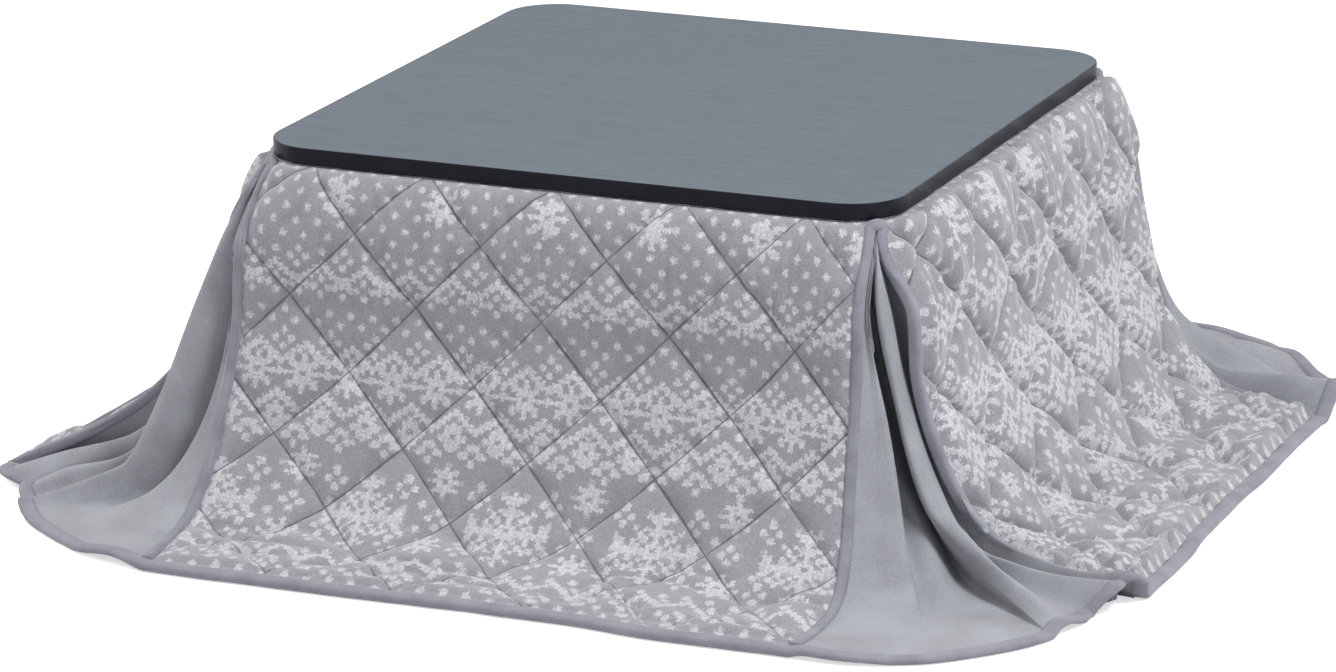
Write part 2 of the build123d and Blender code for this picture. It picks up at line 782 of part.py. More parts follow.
with BuildPart() as heater_inlet_pins:
    with BuildSketch(Plane(origin=(pin_start, 0, inlet_z), x_dir=(0, 1, 0), z_dir=(1, 0, 0))):
        with GridLocations(inlet_pin_pitch, 0, 3, 1):
            Circle(inlet_pin_radius)
    extrude(amount=pin_end - pin_start)
save(heater_inlet_pins, "heater_inlet_pins")
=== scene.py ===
import json
import math

import bpy
import numpy as np
from mathutils import Matrix


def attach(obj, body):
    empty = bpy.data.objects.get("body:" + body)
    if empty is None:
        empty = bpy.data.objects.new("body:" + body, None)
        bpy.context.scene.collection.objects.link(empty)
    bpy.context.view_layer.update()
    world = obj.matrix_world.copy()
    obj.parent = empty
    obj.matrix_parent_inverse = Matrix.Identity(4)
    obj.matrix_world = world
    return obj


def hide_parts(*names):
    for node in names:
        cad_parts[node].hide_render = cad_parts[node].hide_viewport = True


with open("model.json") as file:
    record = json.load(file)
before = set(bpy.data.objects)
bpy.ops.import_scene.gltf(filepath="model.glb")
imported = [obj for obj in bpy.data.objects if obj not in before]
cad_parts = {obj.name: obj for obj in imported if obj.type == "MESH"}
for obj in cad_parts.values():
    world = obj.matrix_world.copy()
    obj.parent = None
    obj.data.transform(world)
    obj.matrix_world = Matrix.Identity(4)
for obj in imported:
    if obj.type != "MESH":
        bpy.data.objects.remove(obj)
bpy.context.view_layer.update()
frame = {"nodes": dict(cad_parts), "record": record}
nodes = frame["nodes"]
sides = ("front", "right", "back", "left")
corners = ("front_right", "back_right", "back_left", "front_left")

# Lengths are millimetres until a mesh is made. Front is -Y, right is +X, up is +Z. Headings
# are degrees round the table from the front: right 90, back 180, left 270.
print("Camera and light")


def addObject(name, data):
    thing = bpy.data.objects.new(name, data)
    bpy.context.collection.objects.link(thing)
    return thing


view = {
    "place": (2321.2, -5590.9, 1903.5),
    "azimuth": 22.83,
    "elevation": 16.42,
    "roll": -0.29,
    "lens": 157.6,
    "filmWidth": 36,
    "farthest": 50,  # metres
}


def makeCamera():
    # Turned up from straight down, rolled a little, then swung round the table
    lens = bpy.data.cameras.new("camera")
    lens.lens = view["lens"]
    lens.sensor_width = view["filmWidth"]
    lens.clip_end = view["farthest"]
    camera = addObject("camera", lens)
    camera.location = [mm * 0.001 for mm in view["place"]]
    turn = math.radians(view["azimuth"])
    tilt = math.radians(90 - view["elevation"])
    roll = math.radians(view["roll"])
    camera.rotation_mode = "QUATERNION"
    swing = Matrix.Rotation(turn, 3, "Z") @ Matrix.Rotation(tilt, 3, "X")
    camera.rotation_quaternion = (swing @ Matrix.Rotation(roll, 3, "Z")).to_quaternion()
    bpy.context.scene.camera = camera


def hexColour(text):
    # Written in sRGB, handed to Blender in linear light
    parts = [int(text[i:i + 2], 16) / 255 for i in (1, 3, 5)]
    return [c / 12.92 if c <= 0.04045 else ((c + 0.055) / 1.055) ** 2.4 for c in parts] + [1]


def addNode(tree, kind, inputs=(), out=0, **settings):
    # Adds a node, sets its properties, fills its inputs with values or links, gives back an output
    node = tree.nodes.new("ShaderNode" + kind)
    for name, value in settings.items():
        setattr(node, name, value)
    pairs = inputs.items() if isinstance(inputs, dict) else enumerate(inputs)
    for name, value in pairs:
        if isinstance(value, bpy.types.NodeSocket):
            tree.links.new(value, node.inputs[name])
        else:
            node.inputs[name].default_value = value
    return node.outputs[out] if node.outputs else node


def maths(tree, operation, *values):
    return addNode(tree, "Math", values, operation=operation)


def remap(tree, value, low, high, toLow=0, toHigh=1, **settings):
    # Moves a value from the range low to high to the range toLow to toHigh, and holds it there
    inputs = {"Value": value, "From Min": low, "From Max": high, "To Min": toLow, "To Max": toHigh}
    return addNode(tree, "MapRange", inputs, **settings)


def addNoise(tree, place, scale, detail, roughness=0.5, out=0):
    inputs = {"Vector": place, "Scale": scale, "Detail": detail, "Roughness": roughness}
    return addNode(tree, "TexNoise", inputs, out)


def mixColour(tree, share, first, second, **settings):
    # First colour where the share is 0, second where it is 1; each may be a link or a hex colour
    first, second = (hexColour(c) if isinstance(c, str) else c for c in (first, second))
    return addNode(tree, "Mix", {0: share, 6: first, 7: second}, out=2, data_type="RGBA", **settings)


lights = (
    # name, place, side length, watts
    ("key_right", (2200, -900, 2900), 1000, 84),
    ("fill_front", (-1100, -2800, 2900), 1500, 20),
    ("overhead", (-300, -500, 3100), 1700, 18),
    ("side_right", (2300, 2300, 1000), 1200, 25),
    ("side_left", (-2600, -500, 1400), 1000, 24),
)
aimHeight = 0.2  # metres
studio = {"light": 0.23, "floor": "#f4f4f5", "floorGlow": 0.62, "floorHalf": 12}


def aimLamp(name, place, side, watts):
    # A square lamp turned to a point above the middle of the floor
    lamp = bpy.data.lights.new(name, "AREA")
    lamp.shape = "SQUARE"
    lamp.size = side * 0.001
    lamp.energy = watts
    thing = addObject(name, lamp)
    x, y, z = (mm * 0.001 for mm in place)
    thing.location = (x, y, z)
    flat = math.hypot(x, y)
    thing.rotation_euler = (math.atan2(flat, z - aimHeight), 0, math.atan2(y, x) + math.pi / 2)


def makeWorld():
    # Soft white light all round; what the camera, a gloss or a glass sees of it is plain white
    world = bpy.data.worlds.new("studio")
    bpy.context.scene.world = world
    world.use_nodes = True
    tree = world.node_tree
    tree.nodes.clear()
    light, seen = (addNode(tree, "Background", {"Color": hexColour("#ffffff"), "Strength": strength})
                   for strength in (studio["light"], 1))
    toCamera, through, toGloss = (addNode(tree, "LightPath", out=f"Is {kind} Ray")
                                  for kind in ("Camera", "Transmission", "Glossy"))
    straight = maths(tree, "MAXIMUM", maths(tree, "MAXIMUM", toCamera, through), toGloss)
    addNode(tree, "OutputWorld", (addNode(tree, "MixShader", (straight, light, seen)),))


def makeFloor():
    # A pale sheet that keeps the table's soft shadow; the camera sees its lit part as white
    half = studio["floorHalf"]
    mesh = bpy.data.meshes.new("floor")
    rim = [(-half, -half, 0), (half, -half, 0), (half, half, 0), (-half, half, 0)]
    mesh.from_pydata(rim, [], [(0, 1, 2, 3)])
    paint = bpy.data.materials.new("pale studio floor")
    paint.use_nodes = True
    tree = paint.node_tree
    tree.nodes.clear()
    pale = addNode(tree, "BsdfDiffuse", {"Color": hexColour(studio["floor"])})
    toCamera = addNode(tree, "LightPath", out="Is Camera Ray")
    lift = maths(tree, "MULTIPLY", toCamera, studio["floorGlow"])
    glow = addNode(tree, "Emission", {"Color": hexColour("#ffffff"), "Strength": lift})
    addNode(tree, "OutputMaterial", (addNode(tree, "AddShader", (pale, glow)),))
    mesh.materials.append(paint)
    floor = addObject("floor", mesh)


makeCamera()
makeWorld()
makeFloor()
for lampSettings in lights:
    aimLamp(*lampSettings)
bpy.context.scene.view_settings.view_transform = "Standard"

print("Cloth shapes")


def splineWeights(count, samples):
    # Weights of a Catmull-Rom spline, the smooth cubic through count control points, at the
    # given places between 0 and count - 1; the ends are carried on in a straight line
    samples = np.asarray(samples, float)
    base = np.clip(np.floor(samples).astype(int), 0, count - 2)
    x = samples - base
    pull = (
        (-x + 2 * x**2 - x**3) / 2,
        (2 - 5 * x**2 + 3 * x**3) / 2,
        (x + 4 * x**2 - 3 * x**3) / 2,
        (x**3 - x**2) / 2,
    )
    full = np.zeros((len(samples), count + 2))
    for shift, share in enumerate(pull):
        full[np.arange(len(samples)), base + shift] = share
    weights = full[:, 1:-1]
    weights[:, :2] += full[:, :1] * (2, -1)
    weights[:, -2:] += full[:, -1:] * (-1, 2)
    return weights


def smoothStep(x, low, high):
    # 0 up to low, 1 from high on, and t^2 (3 - 2t) between them
    t = np.clip((x - low) / (high - low), 0, 1)
    return t * t * (3 - 2 * t)


def smoothNoise(x, y, seed):
    # Value noise from -1 to 1 with a cell of one unit: random numbers on a lattice, blended
    # smoothly between their neighbours
    lattice = np.random.RandomState(seed).uniform(-1, 1, (64, 64))
    x = np.asarray(x, float) + 1000
    y = np.asarray(y, float) + 1000
    i = np.floor(x).astype(int)
    j = np.floor(y).astype(int)
    fx = smoothStep(x - i, 0, 1)
    fy = smoothStep(y - j, 0, 1)
    near, far = (lattice[i % 64, row % 64] * (1 - fx) + lattice[(i + 1) % 64, row % 64] * fx
                 for row in (j, j + 1))
    return near * (1 - fy) + far * fy


quilt = {
    # distance out from the board's edge and height, down the middle of a side
    "fall": ((0, 366), (13, 355), (26, 324), (34, 270), (38, 212), (55, 147), (90, 69), (133, 23),
             (190, 9.5), (254, 9)),
    # the same where the left side's near end stands up off the floor
    "tentFall": ((0, 366), (13, 355), (26, 324), (36, 270), (50, 212), (84, 150), (136, 90),
                 (192, 50), (240, 26), (266, 10)),
    "tentFrom": (190, 345),
    "reachFrom": (40, 200),  # how far out a side's own reach sets in
    "driftLength": 105,
    "driftFrom": 390,
    "insetDepth": 95,  # the cloth is set back under the board's round corners down to here
    "wall": 8,
    "lowest": 0.6,
    "boardHalf": 350,
    "cornerRadius": 60,
    "cornerCentre": 290,
    "stitchWide": 141,
    "stitchTall": 144,
    "cellsPerStitch": 44,
    "samplesDown": 400,
    "printShift": 500,  # across, from the middle of a side
}
seeds = {"panel": 11, "gusset": 31, "drift": 41, "tape": 61, "hem": 71, "top": 91}
cellWide = quilt["stitchWide"] / quilt["cellsPerStitch"]
cellTall = quilt["stitchTall"] / quilt["cellsPerStitch"]


def lengthAlong(points, axis=0):
    # Distance from the first point to each one, down a line or along one direction of a grid
    steps = np.linalg.norm(np.diff(points, axis=axis), axis=-1)
    start = np.zeros_like(np.take(steps, [0], axis=axis))
    return np.concatenate((start, np.cumsum(steps, axis=axis)), axis=axis)


def turnQuarters(points, count):
    # Turns points about the middle of the table by quarters of a full turn
    for _ in range(count % 4):
        points = np.stack((-points[..., 1], points[..., 0], points[..., 2]), -1)
    return points


def fallCurve(name):
    # A side's outline worked out finely, with the length of cloth down to each point
    control = np.array(quilt[name], float)
    at = np.linspace(0, len(control) - 1, quilt["samplesDown"])
    line = splineWeights(len(control), at) @ control
    length = np.concatenate(([0], np.cumsum(np.hypot(*np.diff(line, axis=0).T))))
    return line, length


fallLine, fallLength = fallCurve("fall")
tentLine, tentLength = fallCurve("tentFall")
clothDrop = fallLength[-1]
dropLevels = (0, 20, 45, 80, 120, 190, 270, 330, 385, 430, clothDrop)

# Each side's cloth. edges: where it ends, as distances from the middle of the side towards its
# first corner (negative) and its second, at the dropLevels. reach: how much farther out it lies
# than the fall curve. drift: how far its hem strays. stitch: across and drop of one crossing of
# the stitch lines. The others are the heights of its relief, and the width of its creases
sideCloth = {
    "front": {
        "edges": ((-326, -336, -344, -349, -351, -353, -357, -360, -362, -360, -353),
                  (327, 330, 332, 332, 332, 333, 338, 345, 352, 355, 352)),
        "reach": 1.0, "drift": 5, "stitch": (-80, 67),
        "pillow": 7, "crease": 9, "gather": 2.2, "wrinkle": 0.7, "puff": 11,
    },
    "right": {
        "edges": ((-326, -338, -346, -352, -353, -351, -343, -326, -302, -306, -318),
                  (327, 322, 315, 318, 324, 340, 338, 334, 343, 342, 301)),
        "reach": 1.0, "drift": 9, "stitch": (-30, 40),
        "pillow": 15, "crease": 7, "gather": 5.5, "wrinkle": 2.2, "puff": 10,
    },
    "back": {
        "edges": ((-327, -334, -340, -345, -348, -350, -352, -354, -352, -350, -345),
                  (327, 334, 340, 345, 348, 350, 352, 354, 352, 350, 345)),
        "reach": 1.0, "drift": 7, "stitch": (-60, 60),
        "pillow": 8, "crease": 9, "gather": 2.4, "wrinkle": 0.8, "puff": 8,
    },
    "left": {
        "edges": ((-327, -334, -340, -344, -346, -350, -354, -352, -350, -348, -345),
                  (327, 332, 337, 337, 335, 333, 334, 337, 345, 355, 368)),
        "reach": 1.06, "drift": 4, "stitch": (-20, 50),
        "pillow": 8, "crease": 9, "gather": 2.4, "wrinkle": 0.8, "puff": 8,
    },
}


def turnToSide(quarter, across, out, height):
    # From a side's own directions (along the side, out from the middle) to the table's
    points = np.stack(np.broadcast_arrays(across, -np.asarray(out, float), height), -1)
    return turnQuarters(points.astype(float), quarter)


def sidePoint(quarter, across, drop):
    # Smooth outer face of a side's cloth: the fall curve, starting at the board's edge, which
    # is set back where the board's corner rounds off
    side = sides[quarter % 4]
    across, drop = np.broadcast_arrays(np.asarray(across, float), np.asarray(drop, float))
    raised = smoothStep(across, *quilt["tentFrom"]) if side == "left" else 0
    down = drop * tentLength[-1] / clothDrop
    lying = [np.interp(drop, fallLength, fallLine[:, k]) for k in (0, 1)]
    standing = [np.interp(down, tentLength, tentLine[:, k]) for k in (0, 1)]
    out, height = ((1 - raised) * a + raised * b for a, b in zip(lying, standing))
    out = out * (1 + (sideCloth[side]["reach"] - 1) * smoothStep(out, *quilt["reachFrom"]))
    drift = smoothNoise(across / quilt["driftLength"], 0.5, seeds["drift"] + quarter % 4)
    out = out + sideCloth[side]["drift"] * (drift * smoothStep(drop, quilt["driftFrom"], clothDrop))
    radius = quilt["cornerRadius"]
    past = np.clip(np.abs(across) - quilt["cornerCentre"], 0, radius * 0.98)
    inset = radius - np.sqrt(radius**2 - past**2)
    inset = inset * (1 - smoothStep(drop, 0, quilt["insetDepth"]))
    return turnToSide(quarter, across, quilt["boardHalf"] + out - inset, height)


def sideEdge(quarter, end, drop):
    # Across value of one end of a side's cloth (end 0 or 1) at a length down the cloth
    values = sideCloth[sides[quarter % 4]]["edges"][end]
    weights = splineWeights(len(dropLevels), np.linspace(0, len(dropLevels) - 1, 200))
    return np.interp(drop, weights @ np.array(dropLevels, float), weights @ np.array(values, float))


def unit(vectors):
    # Each vector divided by its length
    return vectors / np.maximum(np.linalg.norm(vectors, axis=-1, keepdims=True), 1e-9)


def surfaceNormals(grid):
    # Cross product of the two directions of a grid of points
    return unit(np.cross(np.gradient(grid, axis=1), np.gradient(grid, axis=0)))


def newPiece(name, points, faces, materials, uv, stitch=None):
    # A mesh from points in millimetres; stitch is each point's distance to a line of stitches
    mesh = bpy.data.meshes.new(name)
    mesh.from_pydata((np.asarray(points).reshape(-1, 3) * 0.001).tolist(), [], faces)
    mesh.polygons.foreach_set("use_smooth", [True] * len(mesh.polygons))
    layer = mesh.uv_layers.new(name="cloth")
    corner = np.zeros(len(mesh.loops), dtype=np.int32)
    mesh.loops.foreach_get("vertex_index", corner)
    layer.data.foreach_set("uv", (np.asarray(uv).reshape(-1, 2)[corner] * 0.001).ravel())
    if stitch is not None:
        mark = mesh.attributes.new("stitch", "FLOAT", "POINT")
        mark.data.foreach_set("value", stitch)
    for paint in materials:
        mesh.materials.append(paint)
    mesh.update()
    return addObject(name, mesh)


def gridFaces(wide, tall, start, flip, slant):
    # Quads over a grid of points, or pairs of triangles cut along the slant given for each
    index = start + np.arange(wide * tall).reshape(wide, tall)
    a, b, c, d = index[:-1, :-1], index[:-1, 1:], index[1:, 1:], index[1:, :-1]
    if slant is None:
        quads = np.stack((a, b, c, d), -1).reshape(-1, 4)
        return (quads[:, ::-1] if flip else quads).tolist()
    slant = slant[..., None]
    first = np.where(slant, np.stack((a, b, c), -1), np.stack((a, b, d), -1))
    second = np.where(slant, np.stack((a, c, d), -1), np.stack((b, c, d), -1))
    both = np.concatenate((first.reshape(-1, 3), second.reshape(-1, 3)))
    return (both[:, ::-1] if flip else both).tolist()


def closedSheet(name, outer, inner, uv, materials, slant=None, stitch=None):
    # Two grids of the same size, joined round their rim into a closed sheet of cloth
    wide, tall = outer.shape[:2]
    count = wide * tall
    faces = gridFaces(wide, tall, 0, False, slant)
    shown = len(faces)
    faces += gridFaces(wide, tall, count, True, slant)
    index = np.arange(count).reshape(wide, tall)
    rim = np.concatenate((index[:, 0], index[-1, 1:], index[-2::-1, -1], index[0, -2:0:-1]))
    after = np.roll(rim, -1)
    faces += np.stack((rim, rim + count, after + count, after), -1).tolist()
    points = np.concatenate((outer.reshape(-1, 3), inner.reshape(-1, 3)))
    twice = None if stitch is None else np.tile(stitch.ravel(), 2)
    piece = newPiece(name, points, faces, materials, np.tile(uv.reshape(-1, 2), (2, 1)), twice)
    if len(materials) > 1:
        slots = np.zeros(len(faces), dtype=np.int32)
        slots[shown:] = 1
        piece.data.polygons.foreach_set("material_index", slots)
    return piece


def stitchLines(across, drop):
    # For two families of slanted lines: the count of lines passed, and the distance to the nearest
    wide, tall = quilt["stitchWide"], quilt["stitchTall"]
    spacing = wide * tall / math.hypot(wide, tall)
    lines = (across / wide + drop / tall, across / wide - drop / tall)
    return lines, [np.abs(line - np.round(line)) * spacing for line in lines]


def stitchDistance(across, drop):
    return np.minimum(*stitchLines(across, drop)[1])


def stitchSlant(across, drop):
    # True where a falling line is the nearer one, so that a cell is cut in two along it
    rising, falling = stitchLines(across, drop)[0]
    return np.abs(falling - np.round(falling)) < np.abs(rising - np.round(rising))


pucker = {"length": 7, "share": 0.18, "start": 2.5, "fade": 12}


def quiltRelief(across, drop, pillow, crease, seed):
    # Pillows between two families of slanted stitch lines: height times (1 - e^(-distance /
    # crease)) for the nearest line of each family, with small puckers beside the lines
    (rising, falling), (toRising, toFalling) = stitchLines(across, drop)
    height = pillow * (1 - np.exp(-toRising / crease)) * (1 - np.exp(-toFalling / crease))
    length = math.hypot(quilt["stitchWide"], quilt["stitchTall"])
    for line, distance, other in ((rising, toRising, falling), (falling, toFalling, rising)):
        ripple = smoothNoise(other * length / pucker["length"], np.round(line) * 3.7, seed + 5)
        swell = pucker["share"] * pillow * ripple * np.exp(-distance / pucker["fade"])
        height = height + swell * (1 - np.exp(-distance / pucker["start"]))
    return height


# Each kind of bump in a side's cloth: size across and down, its own part of the seed, weight
bumps = {
    "gather": (15, 110, 0, 1),
    "smallGather": (9, 90, 1, 0.5),
    "hollow": (70, 70, 2, 1.3),
    "rough": (13, 13, 3, 0.28),
    "bend": (45, 60, 4, 0.5),
    "puff": (78, 26, 6, 1),
    "wrinkle": (12, 42, 7, 1),
    "sway": (50, 50, 8, 0.5),
}
# Gathers and puffs have sharp valleys, because they are the root of a noise's size
rooted = {"gatherScale": 1.7, "gatherMiddle": 0.5, "puffMiddle": 0.45}
# Lengths of cloth over which the relief sets in, the gathers fade, and the floor puffs set in
edgeCalm = 14
gatherReach = (40, 240)
floorFrom = (350, 410)


def sideRelief(side, across, drop, seed):
    # Everything that lifts a side's cloth off its smooth fall: pillows, gathers that run down
    # from the board's edge, soft hollows, and puffs over the part that lies on the floor
    def noise(kind, pushAcross=0, pushDown=0):
        wide, tall, ownSeed, weight = bumps[kind]
        return weight * smoothNoise(across / wide + pushAcross, drop / tall + pushDown, seed + ownSeed)

    cloth = sideCloth[side]
    startAcross, startDrop = cloth["stitch"]
    base = quiltRelief(across - startAcross, drop - startDrop, cloth["pillow"], cloth["crease"], seed)
    edge = smoothStep(drop, 0, edgeCalm)
    fade = 1 - smoothStep(drop, *gatherReach)
    pleats = rooted["gatherScale"] * (np.sqrt(np.abs(noise("gather"))) - rooted["gatherMiddle"])
    pleats = pleats + noise("smallGather")
    fine = noise("rough") + cloth["wrinkle"] * noise("wrinkle", noise("sway"))
    bend = noise("bend")
    puffs = np.sqrt(np.abs(noise("puff", bend, bend))) - rooted["puffMiddle"]
    upright = edge * (base + cloth["gather"] * fade * pleats + noise("hollow") + fine)
    return upright + smoothStep(drop, *floorFrom) * cloth["puff"] * puffs


panel = {
    "half": 345,
    "slide": 110,  # how far in from a seam the columns slide
    "seamCalm": 16,  # the relief is low this near to a seam, and this near to the hem
    "hemCalm": 10,
    "calmShare": 0.15,  # how much of it is left there
    "rowMargin": 0.4,  # least part of a cell between the first or last row and the cloth's ends
    "innerShare": 0.35,  # how much of the relief the inner face takes the other way
    "thinnest": 2,
}


def makePanel(quarter, materials):
    # Grid of cells whose diagonals are the stitch lines; the outer columns slide sideways so
    # that the first and last follow the seams
    side = sides[quarter]
    startAcross, startDrop = sideCloth[side]["stitch"]
    firstColumn = round((-panel["half"] - startAcross) / cellWide)
    lastColumn = round((panel["half"] - startAcross) / cellWide)
    across = startAcross + np.arange(firstColumn, lastColumn + 1) * cellWide
    margin = panel["rowMargin"] * cellTall
    firstRow = math.ceil((margin - startDrop) / cellTall)
    lastRow = math.floor((clothDrop - margin - startDrop) / cellTall)
    rows = startDrop + np.arange(firstRow, lastRow + 1) * cellTall
    drop = np.concatenate(([0], rows, [clothDrop]))
    flatAcross, flatDrop = np.meshgrid(across, drop, indexing="ij")
    fromStart, fromEnd = flatAcross - across[0], across[-1] - flatAcross
    slid = flatAcross
    for end, first, inward in ((0, across[0], fromStart), (1, across[-1], fromEnd)):
        share = np.clip(1 - inward / panel["slide"], 0, 1)
        slid = slid + (sideEdge(quarter, end, drop) - first) * share
    base = sidePoint(quarter, slid, flatDrop)
    normal = surfaceNormals(base)
    rim = smoothStep(fromStart, 0, panel["seamCalm"]) * smoothStep(fromEnd, 0, panel["seamCalm"])
    rim = rim * smoothStep(clothDrop - flatDrop, 0, panel["hemCalm"])
    rim = panel["calmShare"] + (1 - panel["calmShare"]) * rim
    relief = sideRelief(side, flatAcross, flatDrop, seeds["panel"] + quarter) * rim
    outer = base + normal * relief[..., None]
    inner = base - normal * (quilt["wall"] - panel["innerShare"] * relief[..., None].clip(0))
    inner[..., 2] = inner[..., 2].clip(quilt["lowest"])
    outer[..., 2] = np.maximum(outer[..., 2], inner[..., 2] + panel["thinnest"])
    slant = stitchSlant(flatAcross[:-1, :-1] + cellWide / 2 - startAcross,
                        (flatDrop[:-1, :-1] + flatDrop[:-1, 1:]) / 2 - startDrop)
    uv = np.stack((flatAcross + quilt["printShift"], -flatDrop), -1)
    stitch = stitchDistance(flatAcross - startAcross, flatDrop - startDrop)
    piece = closedSheet(f"panel_{side}", outer, inner, uv, materials, slant, stitch)
    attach(piece, "futon")
    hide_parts(f"futon_panel_{side}")
    return base


# Heights at which the corner folds are given, down to the floor, then two places on the floor
foldHeights = (360, 335, 285, 220, 150, 90, 45, 20)
foldDrops = np.interp([-h for h in foldHeights], -fallLine[:, 1], fallLength)
foldDrops = np.append(foldDrops, (clothDrop - 62, clothDrop))

# Each fold line: its headings in degrees from the corner's first side, distances out from the
# board's rounded corner, and heights of the last four points
cornerFolds = {}
cornerFolds["front_right"] = (
    ((39, 35, 29, 31, 32, 30, 29, 27, 25, 21), (6, 23, 42, 47, 65, 90, 118, 147, 202, 274), (45, 20, 13, 8)),
    ((40, 35.5, 29.8, 35.7, 40.2, 40.8, 39.7, 38, 34, 31), (6, 24, 42, 48, 66, 92, 121, 148, 204, 280),
     (46, 21, 8, 5)),
    ((40.6, 35.8, 30.5, 38, 44.5, 45.5, 43.5, 42, 39, 36), (3, 14, 16, 18, 28, 48, 92, 139, 200, 278),
     (38, 13, 7, 5)),
    ((41.2, 36.4, 38, 50, 60, 54, 53, 52, 48, 46), (0, 2, -10, -12, 4, 50, 104, 138, 198, 272),
     (40, 13, 6, 5)),
    ((41.7, 37.5, 47, 62, 71, 68, 69, 64, 60, 56), (0, 2, -8, -8, 6, 34, 74, 122, 194, 266), (28, 9, 5, 5)),
    ((42.1, 37.6, 35.7, 42.2, 47.4, 52, 58, 60.4, 60, 58), (4, 22, 40, 45, 60, 85, 111, 141, 195, 260),
     (52, 32, 17, 8)),
    ((42.9, 39, 39.8, 46.5, 51.5, 57, 60.8, 61.7, 62.5, 62), (7, 27, 46, 51, 68, 93, 124, 156, 200, 256),
     (64, 46, 29, 13)),
    ((43.7, 40.3, 45.2, 52, 57.5, 63, 65, 66.5, 67, 67), (5, 23, 39, 43, 60, 84, 115, 144, 194, 250),
     (52, 31, 16, 7)),
    ((44.6, 41, 51, 58, 63.6, 68, 70, 72, 72, 71), (1, 8, 10, 22, 44, 68, 98, 126, 190, 242), (26, 7, 5, 5)),
    ((45.8, 41.5, 58, 62.5, 66, 70, 72, 75, 77, 76.5), (1, 8, 10, 22, 44, 68, 104, 141, 202, 258),
     (42, 30, 24, 33)),
    ((46.8, 42, 57, 61, 65, 71, 75, 79.6, 79.6, 79.4), (2, 12, 30, 42, 58, 80, 99, 122, 192, 236),
     (28, 8, 5, 6)),
    ((48, 42.5, 54, 56.5, 61.8, 69.8, 77, 82.4, 81.9, 82), (5, 17, 46, 54, 67, 87, 112, 144, 204, 262),
     (50, 31, 25, 35)),
)
cornerFolds["back_right"] = (
    ((35, 24, 23, 28.5, 28.5, 23, 20, 19, 13, 5), (6, 20, 34, 44, 62, 84, 112, 144, 198, 256),
     (42, 16, 7, 6)),
    ((36, 27, 25, 31, 31, 27, 23, 21, 16, 12), (8, 27, 41, 50, 68, 94, 122, 152, 204, 264), (50, 34, 36, 38)),
    ((37, 30, 28, 34, 35, 32, 28, 26, 22, 20), (6, 24, 38, 47, 64, 90, 118, 148, 200, 262), (44, 22, 12, 8)),
    ((38, 33, 31, 37, 38, 36, 34, 33, 28, 27), (9, 30, 46, 60, 76, 104, 158, 190, 214, 262), (50, 32, 20, 8)),
    ((39.5, 37, 36, 42, 44, 42, 40, 38, 36, 36), (4, 14, 26, 36, 54, 80, 112, 142, 200, 258), (36, 12, 6, 5)),
    ((41, 41, 42, 46, 48, 48, 47, 46, 46, 46), (7, 26, 40, 50, 66, 92, 130, 170, 205, 256), (48, 42, 34, 14)),
    ((43, 44, 48, 50, 53, 55, 56, 57, 57, 57), (3, 12, 24, 32, 50, 76, 108, 140, 200, 264), (36, 12, 6, 5)),
    ((45, 46, 52, 53, 56, 59, 62, 65, 68, 70), (7, 24, 44, 52, 68, 92, 122, 150, 204, 262), (50, 28, 14, 8)),
)
cornerFolds["back_left"] = (
    ((42, 43, 37, 37, 35, 33, 31, 28, 25, 23), (4, 14, 28, 38, 54, 80, 112, 144, 200, 262), (38, 12, 6, 5)),
    ((43.5, 44, 41, 41, 40, 40, 39, 38, 37, 36), (8, 28, 52, 64, 84, 110, 138, 160, 210, 270),
     (52, 32, 18, 9)),
    ((45.5, 45.5, 47, 47, 48, 49, 50, 51, 52, 52), (4, 12, 24, 34, 50, 76, 106, 140, 200, 268),
     (36, 12, 6, 5)),
    ((47, 46.5, 51, 51, 53, 56, 59, 62, 65, 67), (7, 24, 48, 58, 74, 98, 126, 154, 206, 264),
     (52, 30, 16, 8)),
)
